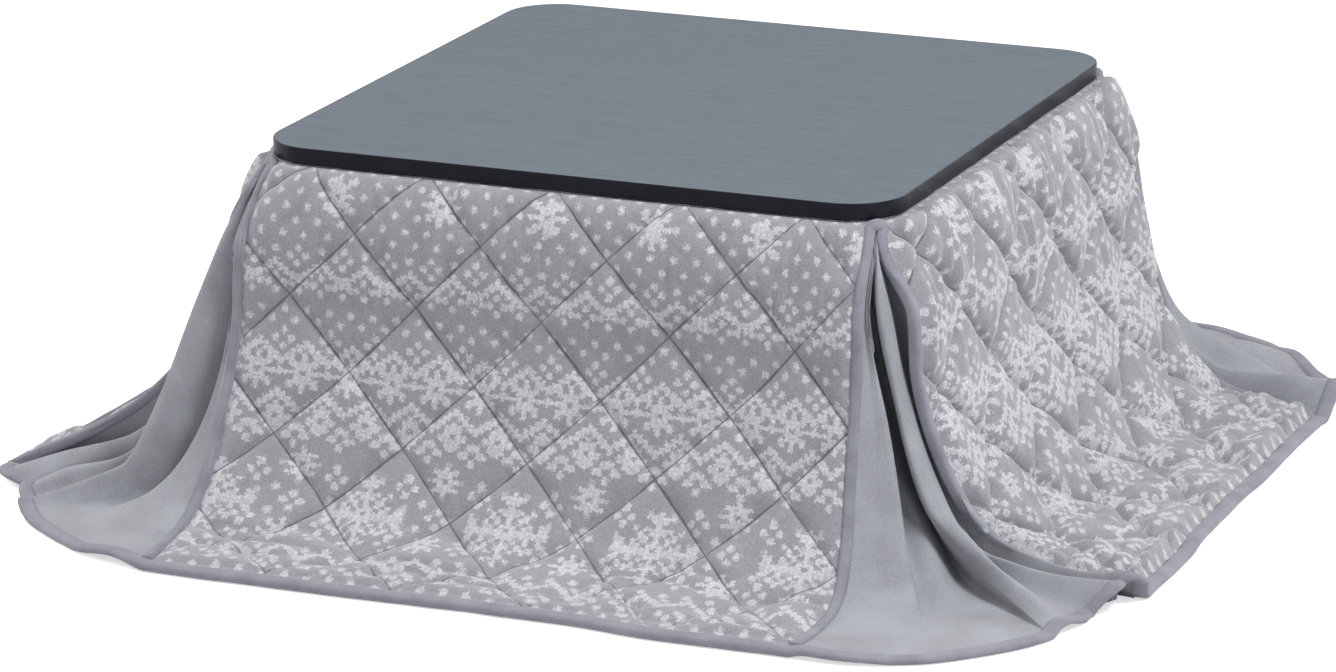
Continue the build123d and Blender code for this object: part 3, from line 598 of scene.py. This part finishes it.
cornerFolds["front_left"] = (
    ((40.5, 39.5, 31, 27, 23, 18, 15, 13, 11, 11), (6, 20, 36, 50, 72, 108, 146, 184, 236, 288),
     (40, 22, 12, 7)),
    ((41, 39.8, 32, 29, 26.5, 23, 20, 18, 17, 18), (6, 22, 42, 64, 88, 118, 150, 184, 236, 292),
     (62, 46, 32, 14)),
    ((41.2, 40, 32.4, 29.8, 27.6, 24.8, 22.6, 20.8, 20.4, 22), (6, 22, 42, 64, 88, 116, 146, 178, 230, 270),
     (56, 38, 24, 11)),
    ((41.4, 40.1, 32.8, 30.4, 28.5, 26, 23.8, 22.2, 22, 24), (6, 22, 41, 63, 86, 108, 134, 166, 222, 246),
     (28, 7, 5, 5)),
    ((41.6, 40.3, 33.2, 31.2, 29.6, 27.4, 25.4, 24, 24, 26.5), (6, 23, 43, 65, 89, 114, 140, 170, 222, 258),
     (40, 30, 24, 15)),
    ((41.8, 40.5, 33.8, 32.6, 31.6, 30.6, 29.2, 28, 27.6, 29), (7, 26, 47, 74, 98, 126, 150, 174, 222, 266),
     (56, 40, 28, 13)),
    ((42, 40.6, 34.2, 33.4, 32.8, 32, 31, 30.4, 30, 30.4), (8, 28, 50, 79, 105, 131, 150, 172, 220, 262),
     (46, 24, 12, 7)),
    ((42.3, 40.7, 35.2, 34.8, 34.2, 33.6, 33, 32.4, 32, 32), (8, 29, 53, 83, 110, 136, 150, 168, 216, 262),
     (38, 8, 5, 5)),
    ((43, 41, 38, 38.2, 37.2, 36, 35.4, 35, 34.4, 34.2), (9, 30, 57, 86, 114, 140, 160, 176, 218, 266),
     (52, 38, 24, 11)),
    ((43.8, 41.2, 41.2, 42, 40.6, 39, 38, 37.2, 37, 37), (8, 28, 50, 76, 104, 130, 150, 166, 212, 266),
     (44, 26, 13, 7)),
    ((44.5, 41.5, 43.4, 44.8, 43, 41.2, 40, 39, 39, 39.4), (7, 24, 38, 56, 80, 106, 130, 150, 206, 266),
     (26, 7, 5, 6)),
    ((46, 42, 49, 51, 48.6, 45.8, 44.2, 42.8, 44, 46), (2, 8, 6, 10, 32, 66, 98, 130, 200, 266),
     (16, 6, 5, 5)),
    ((47.3, 42.5, 52, 53.5, 52, 50, 49.5, 49, 53, 61), (6, 18, 48, 56, 72, 96, 123, 152, 208, 264),
     (50, 28, 16, 5)),
    ((47.7, 42.8, 53, 54.4, 55.5, 57, 58, 60, 66, 71), (7, 20, 50, 57, 73, 97, 124, 152, 206, 262),
     (46, 23, 13, 13)),
)

gussetCloth = {
    "wall": 3.5,
    "across": 18,  # mesh columns between two fold lines, and rows between two heights
    "down": 16,
    "underTape": 7,  # how far its edge reaches in under the tape, less near the board
    "softness": 1.2,
    "softWide": 0.9,  # soft bumps to a fold line's width, and to a step between two heights
    "softTall": 1.1,
    "lowestFace": 4.2,
}


def gussetNet(quarter):
    # Control points of a corner's plain cloth, seam to seam, turned from the front right corner
    under = gussetCloth["underTape"] * np.interp(foldDrops, (0, 60), (0.3, 1))
    first = sidePoint(quarter, sideEdge(quarter, 1, foldDrops) + under, foldDrops)
    last = sidePoint(quarter + 1, sideEdge(quarter + 1, 0, foldDrops) - under, foldDrops)
    net = [turnQuarters(first, -quarter)]
    for degrees, out, low in cornerFolds[corners[quarter]]:
        heading = np.radians(degrees)
        reach = quilt["cornerRadius"] + np.array(out)
        x = quilt["cornerCentre"] + reach * np.sin(heading)
        y = -quilt["cornerCentre"] - reach * np.cos(heading)
        net.append(np.stack((x, y, foldHeights[:-2] + low), -1))
    net.append(turnQuarters(last, -quarter))
    return turnQuarters(np.array(net), quarter)


def makeGusset(quarter, material):
    # Spline surface through the seams and fold lines, given a thickness
    corner = corners[quarter]
    net = gussetNet(quarter)
    wide, tall = net.shape[:2]
    atAcross = np.linspace(0, wide - 1, (wide - 1) * gussetCloth["across"] + 1)
    atDown = np.linspace(0, tall - 1, (tall - 1) * gussetCloth["down"] + 1)
    grid = np.einsum("ui,ijk,vj->uvk", splineWeights(wide, atAcross), net, splineWeights(tall, atDown))
    normal = surfaceNormals(grid)
    spread, fall = np.meshgrid(atAcross, atDown, indexing="ij")
    bump = smoothNoise(spread * gussetCloth["softWide"], fall * gussetCloth["softTall"],
                       seeds["gusset"] + quarter)
    soft = gussetCloth["softness"] * bump
    soft = soft * smoothStep(fall, 0, 2)
    outer = grid + normal * soft[..., None]
    outer[..., 2] = outer[..., 2].clip(gussetCloth["lowestFace"])
    inner = outer - surfaceNormals(outer) * gussetCloth["wall"]
    inner[..., 2] = inner[..., 2].clip(quilt["lowest"])
    uv = np.stack((lengthAlong(grid), -lengthAlong(grid, 1)), -1)
    piece = closedSheet(f"gusset_{corner}", outer, inner, uv, [material])
    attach(piece, "futon")
    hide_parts(f"futon_gusset_{corner}")
    return outer


def sweepProfile(name, path, upward, widths, rises, falls, material, closed):
    # A rounded tape carried along a path: each ring is an oval across the path, its upper and
    # lower half with their own heights
    turns = tape["turns"]
    ahead = np.roll(path, -1, axis=0) - np.roll(path, 1, axis=0) if closed else np.gradient(path, axis=0)
    ahead = unit(ahead)
    upward = unit(upward - (upward * ahead).sum(1, keepdims=True) * ahead)
    outward = np.cross(ahead, upward)
    angle = np.linspace(0, 2 * math.pi, turns, endpoint=False)
    flat, tall = (np.sign(v) * np.abs(v) ** power
                  for v, power in zip((np.cos(angle), np.sin(angle)), tape["powers"]))
    count = len(path)
    widths, rises, falls = (np.broadcast_to(v, count) for v in (widths, rises, falls))
    lift = np.where(tall > 0, tall * rises[:, None], tall * falls[:, None])
    rings = path[:, None] + outward[:, None] * (flat * widths[:, None])[..., None]
    rings = rings + upward[:, None] * lift[..., None]
    rings[..., 2] = rings[..., 2].clip(tape["lowest"])
    index = np.arange(count * turns).reshape(count, turns)
    ends = [] if closed else [index[0].tolist(), index[-1, ::-1].tolist()]
    index = np.pad(index, ((0, int(closed)), (0, 1)), mode="wrap")
    quads = np.stack((index[:-1, :-1], index[1:, :-1], index[1:, 1:], index[:-1, 1:]), -1)
    around = np.arange(turns) * 1000.0 / turns
    uv = np.stack(np.broadcast_arrays(lengthAlong(path)[:, None], around), -1)
    return newPiece(name, rings, quads.reshape(-1, 4).tolist() + ends, [material], uv)


def evenPath(points, carried, spacing, closed):
    # The same line with points at even spacing, and the values carried along with them
    columns = np.column_stack((points, carried))
    if closed:
        columns = np.concatenate((columns, columns[:1]))
    length = lengthAlong(columns[:, :3])
    count = int(length[-1] / spacing)
    at = np.linspace(0, length[-1], count, endpoint=not closed)
    even = np.stack([np.interp(at, length, column) for column in columns.T], -1)
    return even[:, :3], even[:, 3:]


def blurLine(values, width, closed):
    # Moving average along a line, which rounds off its corners
    kernel = np.hanning(2 * width + 3)[1:-1]
    padded = np.pad(values, ((width, width), (0, 0)), mode="wrap" if closed else "edge")
    return np.stack([np.convolve(column, kernel / kernel.sum(), "valid") for column in padded.T], -1)


tape = {
    "turns": 16,  # points round it; the powers make its oval fuller than an ellipse
    "powers": (0.6, 0.75),
    "samples": 130,
    "overSeam": 1.5,
    "half": 6.0,
    "rise": 4.4,
    "fall": 8.2,
    "archLift": 3,
    "archOut": 5,
    "top": 7,
    "lowest": 0.5,
    "spacing": 3,
    "wave": (9, 0.5, 0.35),  # how many points long, how far up and how much wider
    "stitchAt": 0.33,  # as a share of the way round it, like its half width
    "stitchHalf": 0.022,
}


def makeCornerTape(quarter, material):
    # One strip of tape: up the seam of one side, over the top of the plain cloth, down the other
    drops = np.linspace(clothDrop, tape["top"], tape["samples"])
    runs = []
    for side, end, way in ((quarter, 1, 1), (quarter + 1, 0, -1)):
        edge = sideEdge(side, end, drops)
        line = sidePoint(side, edge + way * tape["overSeam"], drops)
        beside = sidePoint(side, edge - way * 2, drops)
        normal = unit(np.cross(np.gradient(line, axis=0), beside - line))
        inward = normal @ turnToSide(side, 0, 1, 0) + 0.3 * normal[:, 2] < 0
        normal = np.where(inward[:, None], -normal, normal)
        runs.append((line, normal))
    (lineA, normalA), (lineB, normalB) = runs
    heading = math.radians(45 + 90 * quarter)
    outward = np.array((math.sin(heading), -math.cos(heading), 0))
    share = np.linspace(0, 1, 9)[1:-1, None]
    arch = lineA[-1] * (1 - share) + lineB[-1] * share
    bulge = np.sin(share * math.pi)
    arch = arch + bulge * (tape["archOut"] * outward + np.array((0, 0, tape["archLift"])))
    path = np.concatenate((lineA, arch, lineB[::-1]))
    upward = np.concatenate((normalA, np.tile(outward, (len(arch), 1)), normalB[::-1]))
    path, upward = evenPath(path, upward, tape["spacing"], False)
    path = blurLine(path, 3, False)
    upward = blurLine(upward, 6, False)
    waveLong, waveUp, waveWide = tape["wave"]
    wave = smoothNoise(np.arange(len(path)) / waveLong, np.zeros(len(path)), seeds["tape"] + quarter)
    corner = corners[quarter]
    piece = sweepProfile(f"tape_{corner}", path + upward * waveUp * wave[:, None], upward,
                         tape["half"] + waveWide * wave, tape["rise"], tape["fall"], material, False)
    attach(piece, "futon")
    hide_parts(f"futon_corner_binding_{corner}")


# panelDrop and gussetDrop: how far the tape's middle lies under the face of that cloth. wave: how
# many points long, how far out and how much wider
hem = {"half": 9, "outside": 4, "panelHeight": 5.3, "panelDrop": 4, "gussetHeight": 3.9,
       "gussetDrop": 1.6, "overFloor": 0.5, "wave": (12, 0.6, 0.4)}


def makeHem(rims, material):
    # Tape folded over the cut edge all the way round: panel edges and corner edges in turn
    path = np.concatenate([points for points, _ in rims])
    height = np.concatenate([np.full(len(points), value) for points, value in rims])
    path, height = evenPath(path, height, tape["spacing"], True)
    path = blurLine(path, 4, True)
    height = blurLine(height, 8, True)[:, 0]
    up = np.tile((0.0, 0.0, 1.0), (len(path), 1))
    ahead = np.roll(path, -1, axis=0) - np.roll(path, 1, axis=0)
    outward = unit(np.cross(ahead, up))
    waveLong, waveOut, waveWide = hem["wave"]
    wave = smoothNoise(np.arange(len(path)) / waveLong, np.zeros(len(path)), seeds["hem"])
    path = path + outward * (hem["outside"] + waveOut * wave[:, None])
    path[:, 2] = np.maximum(path[:, 2], height + hem["overFloor"])
    widths = hem["half"] + waveWide * wave
    piece = sweepProfile("hem_tape", path, up, widths, height, height, material, True)
    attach(piece, "futon")
    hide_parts("futon_hem_binding")


pressed = {
    "inset": 1.2,  # from the rim of the board
    "upper": 366.2,
    "upperRelief": 1.2,
    "lower": 361.2,
    "lowerRelief": 0.8,
    "crease": 11,
}


def makeTopPanel(materials):
    # The flat middle of the quilt, pressed between board and frame, its corners rounded by
    # the elliptical map of a square on to a disc
    half, centre, radius = quilt["boardHalf"], quilt["cornerCentre"], quilt["cornerRadius"]
    halfWide, halfTall = math.floor(half / cellWide), math.floor(half / cellTall)
    across = np.arange(-halfWide, halfWide + 1) * cellWide
    deep = np.arange(-halfTall, halfTall + 1) * cellTall
    x, y = np.meshgrid(across, deep, indexing="ij")
    wide = np.abs(x * ((half - pressed["inset"]) / across[-1]))
    tall = np.abs(y * ((half - pressed["inset"]) / deep[-1]))
    pastX, pastY = (np.clip(v - centre, 0, radius) for v in (wide, tall))
    px, py = (
        np.sign(v) * (np.minimum(size, centre) + past * np.sqrt(1 - other**2 / (2 * radius**2)))
        for v, size, past, other in ((x, wide, pastX, pastY), (y, tall, pastY, pastX))
    )
    relief = quiltRelief(x, y, 1.0, pressed["crease"], seeds["top"]).clip(0, 1.1)
    upper = np.stack((px, py, pressed["upper"] + pressed["upperRelief"] * relief), -1)
    lower = np.stack((px, py, pressed["lower"] - pressed["lowerRelief"] * relief), -1)
    slant = stitchSlant(x[:-1, :-1] + cellWide / 2, y[:-1, :-1] + cellTall / 2)
    uv = np.stack((x + quilt["printShift"], y), -1)
    piece = closedSheet("panel_top", lower, upper, uv, materials[::-1], slant, stitchDistance(x, y))
    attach(piece, "futon")
    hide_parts("futon_top_panel")


print("Finishes")


shaderSockets = {
    "metal": "Metallic",
    "rough": "Roughness",
    "sheen": "Sheen Weight",
    "sheenRough": "Sheen Roughness",
    "gloss": "Specular IOR Level",
    "ior": "IOR",
    "through": "Transmission Weight",
}


def startPaint(name, **values):
    # A material with these fixed values; finishPaint links what changes over the surface
    paint = bpy.data.materials.new(name)
    paint.use_nodes = True
    shader = paint.node_tree.nodes["Principled BSDF"]
    for key, value in values.items():
        shader.inputs[shaderSockets[key]].default_value = value
    tree = paint.node_tree
    return paint, tree, shader, addNode(tree, "TexCoord", out="Object")


def finishPaint(tree, shader, colour, height, strength, depth, shine=None, **settings):
    # Links the colour, a bump of the given strength and depth in metres, and any roughness
    bump = addNode(tree, "Bump", {"Strength": strength, "Distance": depth, "Height": height}, **settings)
    for name, value in (("Base Color", colour), ("Normal", bump), ("Roughness", shine)):
        if value is not None:
            tree.links.new(value, shader.inputs[name])


knit = {
    "cellWide": 6.2,  # one knitted stitch of the print
    "cellTall": 4.7,
    "rows": 108,  # the print starts again after this many rows
    "softEdge": 1.9,
    "fray": 2.5,  # how far the pile drags an edge, and over what length
    "frayLength": 2.6,
    "ground": "#99989e",
    "print": "#f0f1f5",
    # dark quilting thread together with painted crease shade, laid along the stitch lines
    "threadAndCreaseShade": "#45454c",  # lies in the creases
    "petalOut": 8.4,  # from the middle of a flower to its four spots
    "farAway": 99,
}

# The motifs of the print, each shape's from the board down: columns in a repeat, middle column,
# middle row, rows in a repeat or 0, first and last row, size in millimetres
motifs = {
    "dot": (
        (4, 0.5, 3.5, 6, -1, 17.2, 3.1), (4, 2.5, 6.5, 6, -1, 17.2, 3.1), (8, 7.5, 19, 0, 17, 21, 3.6),
        (4, 1.1, 32.6, 0, 31, 34, 3.1), (4, 3.1, 34.9, 0, 33, 37, 3.1), (8, 1.5, 46.4, 0, 44, 48, 3.9),
        (4, 3.5, 49, 0, 47, 51, 3.4), (13, 7, 66.5, 0, 64, 69, 3.6), (26, 10.4, 72.4, 0, 71, 74, 4),
        (26, 10.4, 78.6, 0, 77, 80, 4), (13, 7, 75.4, 0, 73, 78, 3.6), (4, 2.5, 91.5, 0, 89, 94, 4.2),
        (4, 0.5, 100.5, 6, 98, 110, 3.9), (4, 2.5, 103.5, 6, 98, 110, 3.9),
    ),
    "flake": (
        (19, 3.5, 6.5, 0, 1, 12, 21), (8, 5.5, 46.5, 0, 42, 51, 20), (8, 1.5, 56.5, 0, 53, 61, 15.5),
        (26, 13.5, 66.5, 0, 62, 72, 18), (26, 13.5, 84.5, 0, 79, 90, 22),
    ),
    "flower": (
        (8, 3.5, 20.3, 0, 17, 24, 3.4), (4, 3.5, 26.8, 0, 23, 30, 3.2), (8, 1.5, 38.9, 0, 36, 42, 3.4),
        (4, 3.5, 58.6, 0, 56, 61, 3.4), (8, 5.5, 60.2, 0, 57, 63, 3.7), (13, 7, 69, 0, 66, 73, 3.6),
        (13, 7, 81, 0, 78, 84.5, 3.6), (26, 13.5, 75.4, 0, 72, 79, 3.8), (13, 7, 85.5, 0, 82, 89, 3.4),
        (8, 7.5, 95.6, 0, 92, 99, 3.9), (8, 3.5, 101.5, 0, 98, 105, 3.6),
    ),
    "zigzag": (
        (8, 7.5, 22, 0, 20, 28, 4.9), (8, 5.5, 40, 0, 38, 46, 4.9), (8, 1.5, 51, 0, 49, 57, 4.9),
        (8, 3.5, 93, 0, 91, 99, 4.9),
    ),
    "star": (
        (26, 0.5, 76.8, 0, 64, 90, 1),
    ),
}


def motifDistance(tree, shape, across, down, column, row, size):
    # Millimetres that a place lies outside the motif. across and down are its distances from the
    # motif's middle, column and row the same in knitted cells
    big = maths(tree, "MAXIMUM", across, down)
    small = maths(tree, "MINIMUM", across, down)
    if shape == "zigzag":  # a row down for each column across
        width = maths(tree, "ABSOLUTE", maths(tree, "SUBTRACT", row, column))
        return maths(tree, "MULTIPLY_ADD", width, knit["cellTall"], -size)
    if shape in ("dot", "flower"):  # one spot, or four round a gap
        middle = maths(tree, "SUBTRACT", big, knit["petalOut"] if shape == "flower" else 0)
        spot = addNode(tree, "CombineXYZ", (middle, small))
        length = addNode(tree, "VectorMath", (spot,), out=1, operation="LENGTH")
        return maths(tree, "SUBTRACT", length, size)
    slope = maths(tree, "SUBTRACT", big, small)
    if shape == "flake":  # eight straight arms round a gap
        bars = ((small, 2.8, 3.4, size), (slope, 3.15, 3.4, size * 0.7))
    else:  # a large snowflake: a thin cross with two pairs of twigs on each arm, and slanted arms
        outerTwig, innerTwig = (maths(tree, "ABSOLUTE", maths(tree, "SUBTRACT", slope, out))
                                for out in (30, 15))
        bars = ((small, 3.1, 3.4, 47), (slope, 3.4, 6, 29),
                (outerTwig, 3.3, 31, 43), (innerTwig, 3.3, 16, 27))
    arms = []
    for line, half, near, far in bars:
        beside = maths(tree, "SUBTRACT", line, half)
        inside = maths(tree, "SUBTRACT", near, big)
        beyond = maths(tree, "SUBTRACT", big, far)
        ends = maths(tree, "MAXIMUM", inside, beyond)
        arms.append(maths(tree, "MAXIMUM", beside, ends))
    nearest = arms[0]
    for arm in arms[1:]:
        nearest = maths(tree, "MINIMUM", nearest, arm)
    return nearest


def knitMask(tree, u, v):
    # 1 where the print is light, from the distance to the nearest motif. Dots and flowers are
    # round; flakes, zigzags and stars take the stepped outline of knitted cells
    row = maths(tree, "FLOORED_MODULO", v, knit["rows"])
    stepped = [maths(tree, "ADD", maths(tree, "FLOOR", value), 0.5) for value in (u, row)]
    nearest = None
    listed = [(shape, *motif) for shape, rows in motifs.items() for motif in rows]
    for shape, repeat, middleColumn, middleRow, rowRepeat, firstRow, lastRow, size in listed:
        column, line = (u, row) if shape in ("dot", "flower") else stepped
        offset = maths(tree, "SUBTRACT", column, middleColumn)
        columns = maths(tree, "PINGPONG", offset, repeat / 2)
        signed = maths(tree, "SUBTRACT", line, middleRow)
        rows = maths(tree, "ABSOLUTE", signed)
        if rowRepeat:
            rows = maths(tree, "PINGPONG", signed, rowRepeat / 2)
        across = maths(tree, "MULTIPLY", columns, knit["cellWide"])
        down = maths(tree, "MULTIPLY", rows, knit["cellTall"])
        outside = motifDistance(tree, shape, across, down, columns, signed, size)
        band = maths(tree, "COMPARE", row, (firstRow + lastRow) / 2, (lastRow - firstRow) / 2)
        away = maths(tree, "MULTIPLY_ADD", band, -knit["farAway"], knit["farAway"])
        outside = maths(tree, "MAXIMUM", outside, away)
        nearest = outside if nearest is None else maths(tree, "MINIMUM", nearest, outside)
    edge = knit["softEdge"]
    return remap(tree, nearest, -edge, edge, 1, 0, interpolation_type="SMOOTHSTEP")


def makePlush():
    # Flannel fleece: a short brushed pile, so it is matt, brightens at a glancing angle, and
    # its print has soft, frayed edges; the dark line along the stitches is quilting thread and painted crease
    # shade
    paint, tree, shader, place = startPaint("printed flannel fleece", rough=0.95, sheen=0.75, sheenRough=0.42)
    cloth = addNode(tree, "UVMap", uv_map="cloth")
    drag = addNoise(tree, place, 1000 / knit["frayLength"], 1.5, out="Color")
    centred = addNode(tree, "VectorMath", (drag, (0.5, 0.5, 0.5)), operation="SUBTRACT")
    reach = 4 * knit["fray"] / 1000
    frayed = addNode(tree, "VectorMath", (centred, (reach, reach, 0), cloth), operation="MULTIPLY_ADD")
    cells = addNode(tree, "VectorMath", (frayed, (1000 / knit["cellWide"], -1000 / knit["cellTall"], 0)),
                    operation="MULTIPLY")
    mask = knitMask(tree, *(addNode(tree, "SeparateXYZ", (cells,), out=k) for k in (0, 1)))
    brushed = addNoise(tree, place, 30, 3)
    pile = addNoise(tree, place, 420, 3, 0.65)
    thin = remap(tree, pile, 0.35, 0.65, 0.8, 1.08)
    inCell = addNode(tree, "VectorMath", (cells,), operation="FRACTION")
    fromMiddle = addNode(tree, "VectorMath", (inCell, (0.5, 0.5, 0)), operation="DISTANCE", out=1)
    tuft = remap(tree, fromMiddle, 0.28, 0.66, 1.08, 0.6)
    tufted = maths(tree, "MULTIPLY", mask, tuft)
    printed = maths(tree, "MULTIPLY", tufted, thin)
    colour = mixColour(tree, printed, knit["ground"], knit["print"])
    mottle = remap(tree, brushed, 0.3, 0.7, 0.94, 1.04)
    speck = remap(tree, pile, 0.3, 0.7, 0.82, 1.13)
    shade = maths(tree, "MULTIPLY", mottle, speck)
    shaded = mixColour(tree, 1, colour, shade, blend_type="MULTIPLY")
    # Painted crease shade: up to 85 % of the dark thread colour along each stitch line, 0.8 to 2.3 mm wide,
    # stands in for thread and the shade in the crease
    toStitch = addNode(tree, "Attribute", out="Fac", attribute_name="stitch")
    broken = addNoise(tree, place, 26, 2)
    lineWidth = remap(tree, broken, 0.38, 0.62, 0.8, 2.3)
    line = remap(tree, toStitch, 0, lineWidth, 0.85, 0)
    stitched = mixColour(tree, line, shaded, knit["threadAndCreaseShade"])
    finishPaint(tree, shader, stitched, pile, 0.6, 0.0008)
    return paint


def makeFleece():
    # Plain brushed fleece: smoother than the print side, soft matt with a pale bloom at its edges
    paint, tree, shader, place = startPaint("plain brushed fleece", rough=0.92, sheen=0.2, sheenRough=0.5)
    nap = addNoise(tree, place, 600, 3)
    brushed = addNoise(tree, place, 24, 4)
    both = addNode(tree, "Mix", {0: 0.5, 2: brushed, 3: nap})
    ramp = remap(tree, both, 0.34, 0.66)
    colour = mixColour(tree, ramp, "#8d8f95", "#a7a9b0")
    finishPaint(tree, shader, colour, nap, 0.45, 0.0006)
    return paint


def makeTape():
    # Knitted polyester binding: tighter and a shade darker than the cloth, with a fine rib
    # along it; the rib is drawn at 1.6 mm, coarser than the real half millimetre, to show
    paint, tree, shader, place = startPaint("knitted polyester binding", rough=0.85, sheen=0.15,
                                            sheenRough=0.5)
    cloth = addNode(tree, "UVMap", uv_map="cloth")
    rib = addNode(tree, "TexWave", {"Vector": cloth, "Scale": 98, "Distortion": 1.5, "Detail": 1}, out=1,
                  bands_direction="X")
    nap = addNoise(tree, place, 500, 3)
    wear = addNoise(tree, place, 35, 3)
    both = addNode(tree, "Mix", {0: 0.35, 2: wear, 3: nap})
    ramp = remap(tree, both, 0.34, 0.66)
    colour = mixColour(tree, ramp, "#80808b", "#9697a1")
    around = addNode(tree, "SeparateXYZ", (cloth,), out=1)
    toSeam = maths(tree, "ABSOLUTE", maths(tree, "SUBTRACT", around, tape["stitchAt"]))
    seam = remap(tree, toSeam, 0, tape["stitchHalf"], 0.5, 0)
    stitched = mixColour(tree, seam, colour, "#55555f")
    relief = addNode(tree, "Mix", {0: 0.5, 2: rib, 3: nap})
    finishPaint(tree, shader, stitched, relief, 0.4, 0.0005)
    return paint


def makeGrain(name, light, dark, pore, rough, grainWide, pores, **values):
    # Wood or a print of it: long soft streaks with short fine pores, along the table's width
    paint, tree, shader, place = startPaint(name, **values)
    across = 1000 / grainWide
    swirl = addNoise(tree, place, 4, 2, out="Color")
    bent = addNode(tree, "VectorMath", (swirl, (0.02, 0.02, 0.02), place), operation="MULTIPLY_ADD")
    scaled = addNode(tree, "VectorMath", (bent, (across / 46, across, across)), operation="MULTIPLY")
    broad = addNode(tree, "VectorMath", (scaled, (0.16, 0.16, 0.16)), operation="MULTIPLY")
    streak = addNoise(tree, broad, 1, 5, 0.62)
    fine = addNoise(tree, scaled, 1, 3)
    ramp = remap(tree, streak, 0.3, 0.7)
    ground = mixColour(tree, ramp, dark, light)
    mark = remap(tree, fine, 0.58, 0.68, 0, pores)
    colour = mixColour(tree, mark, ground, pore)
    shine = remap(tree, streak, 0, 1, rough - 0.05, rough + 0.07)
    finishPaint(tree, shader, colour, fine, 0.25, 0.0002, shine, invert=True)
    return paint


def makeSpeckled(name, light, dark, rough, size, relief, metal=0, **values):
    # Moulded, enamelled, plated or pressed finish: two near colours mottled at the given size
    # in millimetres, which also moves the roughness and a faint surface texture
    paint, tree, shader, place = startPaint(name, metal=metal, **values)
    grit = addNoise(tree, place, 1000 / size, 3)
    cloud = addNoise(tree, place, 45 / size, 3)
    ramp = remap(tree, cloud, 0.3, 0.7)
    colour = mixColour(tree, ramp, dark, light)
    shine = remap(tree, cloud, 0.3, 0.7, rough * 0.85, rough * 1.15)
    finishPaint(tree, shader, colour, grit, relief, 0.0002, shine)
    return paint


printedPlush = makePlush()
plainFleece = makeFleece()
bindingTape = makeTape()
finishes = {
    # printed wood-grain melamine, matt with fine pores
    "slate_laminate": makeGrain("slate wood-grain melamine", "#5a6671", "#4b5661", "#2d343d", 0.5, 1.4,
                                0.85, gloss=0.4),
    "backing_laminate": makeGrain("plain backing melamine", "#6f7680", "#666d77", "#5b626c", 0.5, 1.5, 0.3),
    "stained_wood": makeGrain("stained and lacquered hardwood", "#6a4630", "#553523", "#3a2216", 0.4, 2.6,
                              0.5),
    "raw_wood": makeGrain("planed softwood", "#cdb083", "#b89968", "#96774b", 0.7, 3.2, 0.4),
    "edge_band": makeSpeckled("extruded ABS edge band", "#151822", "#0f121a", 0.3, 1.5, 0.15, gloss=0.18),
    "quartz": makeSpeckled("milky fused quartz", "#f3f1ec", "#e6e3dc", 0.2, 1, 0.05, through=0.55, ior=1.46),
}
# Name, light and dark colour, roughness, size of the mottling, relief, and 1 for a metal
mottled = {
    "fibreboard": ("medium density fibreboard", "#b79a72", "#a2855f", 0.85, 0.8, 0.5),
    "foot_plastic": ("moulded polyethylene foot", "#2c2c2e", "#242426", 0.55, 0.8, 0.2),
    "plated_steel": ("zinc-plated pressed steel", "#c3c6c8", "#a9adb1", 0.36, 1.2, 0.12, 1),
    "screw_steel": ("zinc-plated screw steel", "#b9bcbe", "#9ea2a5", 0.32, 0.8, 0.12, 1),
    "nylon": ("natural nylon", "#e6e2d6", "#dad5c6", 0.5, 0.8, 0.1),
    "case_enamel": ("baked enamel on steel", "#3a3c40", "#33353a", 0.4, 0.7, 0.3),
    "reflector_aluminium": ("bright rolled aluminium", "#e3e5e7", "#d2d5d8", 0.16, 2, 0.1, 1),
    "heating_alloy": ("oxidised heating alloy", "#6e625a", "#574b44", 0.55, 0.6, 0.4, 1),
    "porcelain": ("unglazed steatite", "#efece2", "#e2dfd3", 0.6, 0.5, 0.2),
    "bright_steel": ("bright steel strip", "#cccfd1", "#b4b8bb", 0.25, 1, 0.1, 1),
    "guard_chrome": ("chromed guard wire", "#dddfe1", "#cbcdd0", 0.14, 1, 0.05, 1),
    "black_moulding": ("moulded phenolic resin", "#1d1d1f", "#161618", 0.45, 0.6, 0.25),
    "lead_sleeve": ("woven glass sleeving", "#e8e6df", "#cfccc2", 0.75, 0.5, 0.5),
    "pin_brass": ("turned brass pin", "#d9b866", "#c6a453", 0.28, 0.6, 0.1, 1),
}
for slot, row in mottled.items():
    finishes[slot] = makeSpeckled(*row)
for part in frame["record"]["subparts"]:
    finish = finishes.get(part["material_slot"])
    holder = nodes.get(part["node"])
    if finish and holder:
        holder.data.materials.clear()
        holder.data.materials.append(finish)

print("Quilt")
rims = []
for quarter in range(4):
    face = makePanel(quarter, [printedPlush, plainFleece])
    rims.append((face[:, -1] - np.array((0, 0, hem["panelDrop"])), hem["panelHeight"]))
    face = makeGusset(quarter, plainFleece)
    rims.append((face[:, -1] - np.array((0, 0, hem["gussetDrop"])), hem["gussetHeight"]))
    makeCornerTape(quarter, bindingTape)
makeHem(rims, bindingTape)
makeTopPanel([printedPlush, plainFleece])
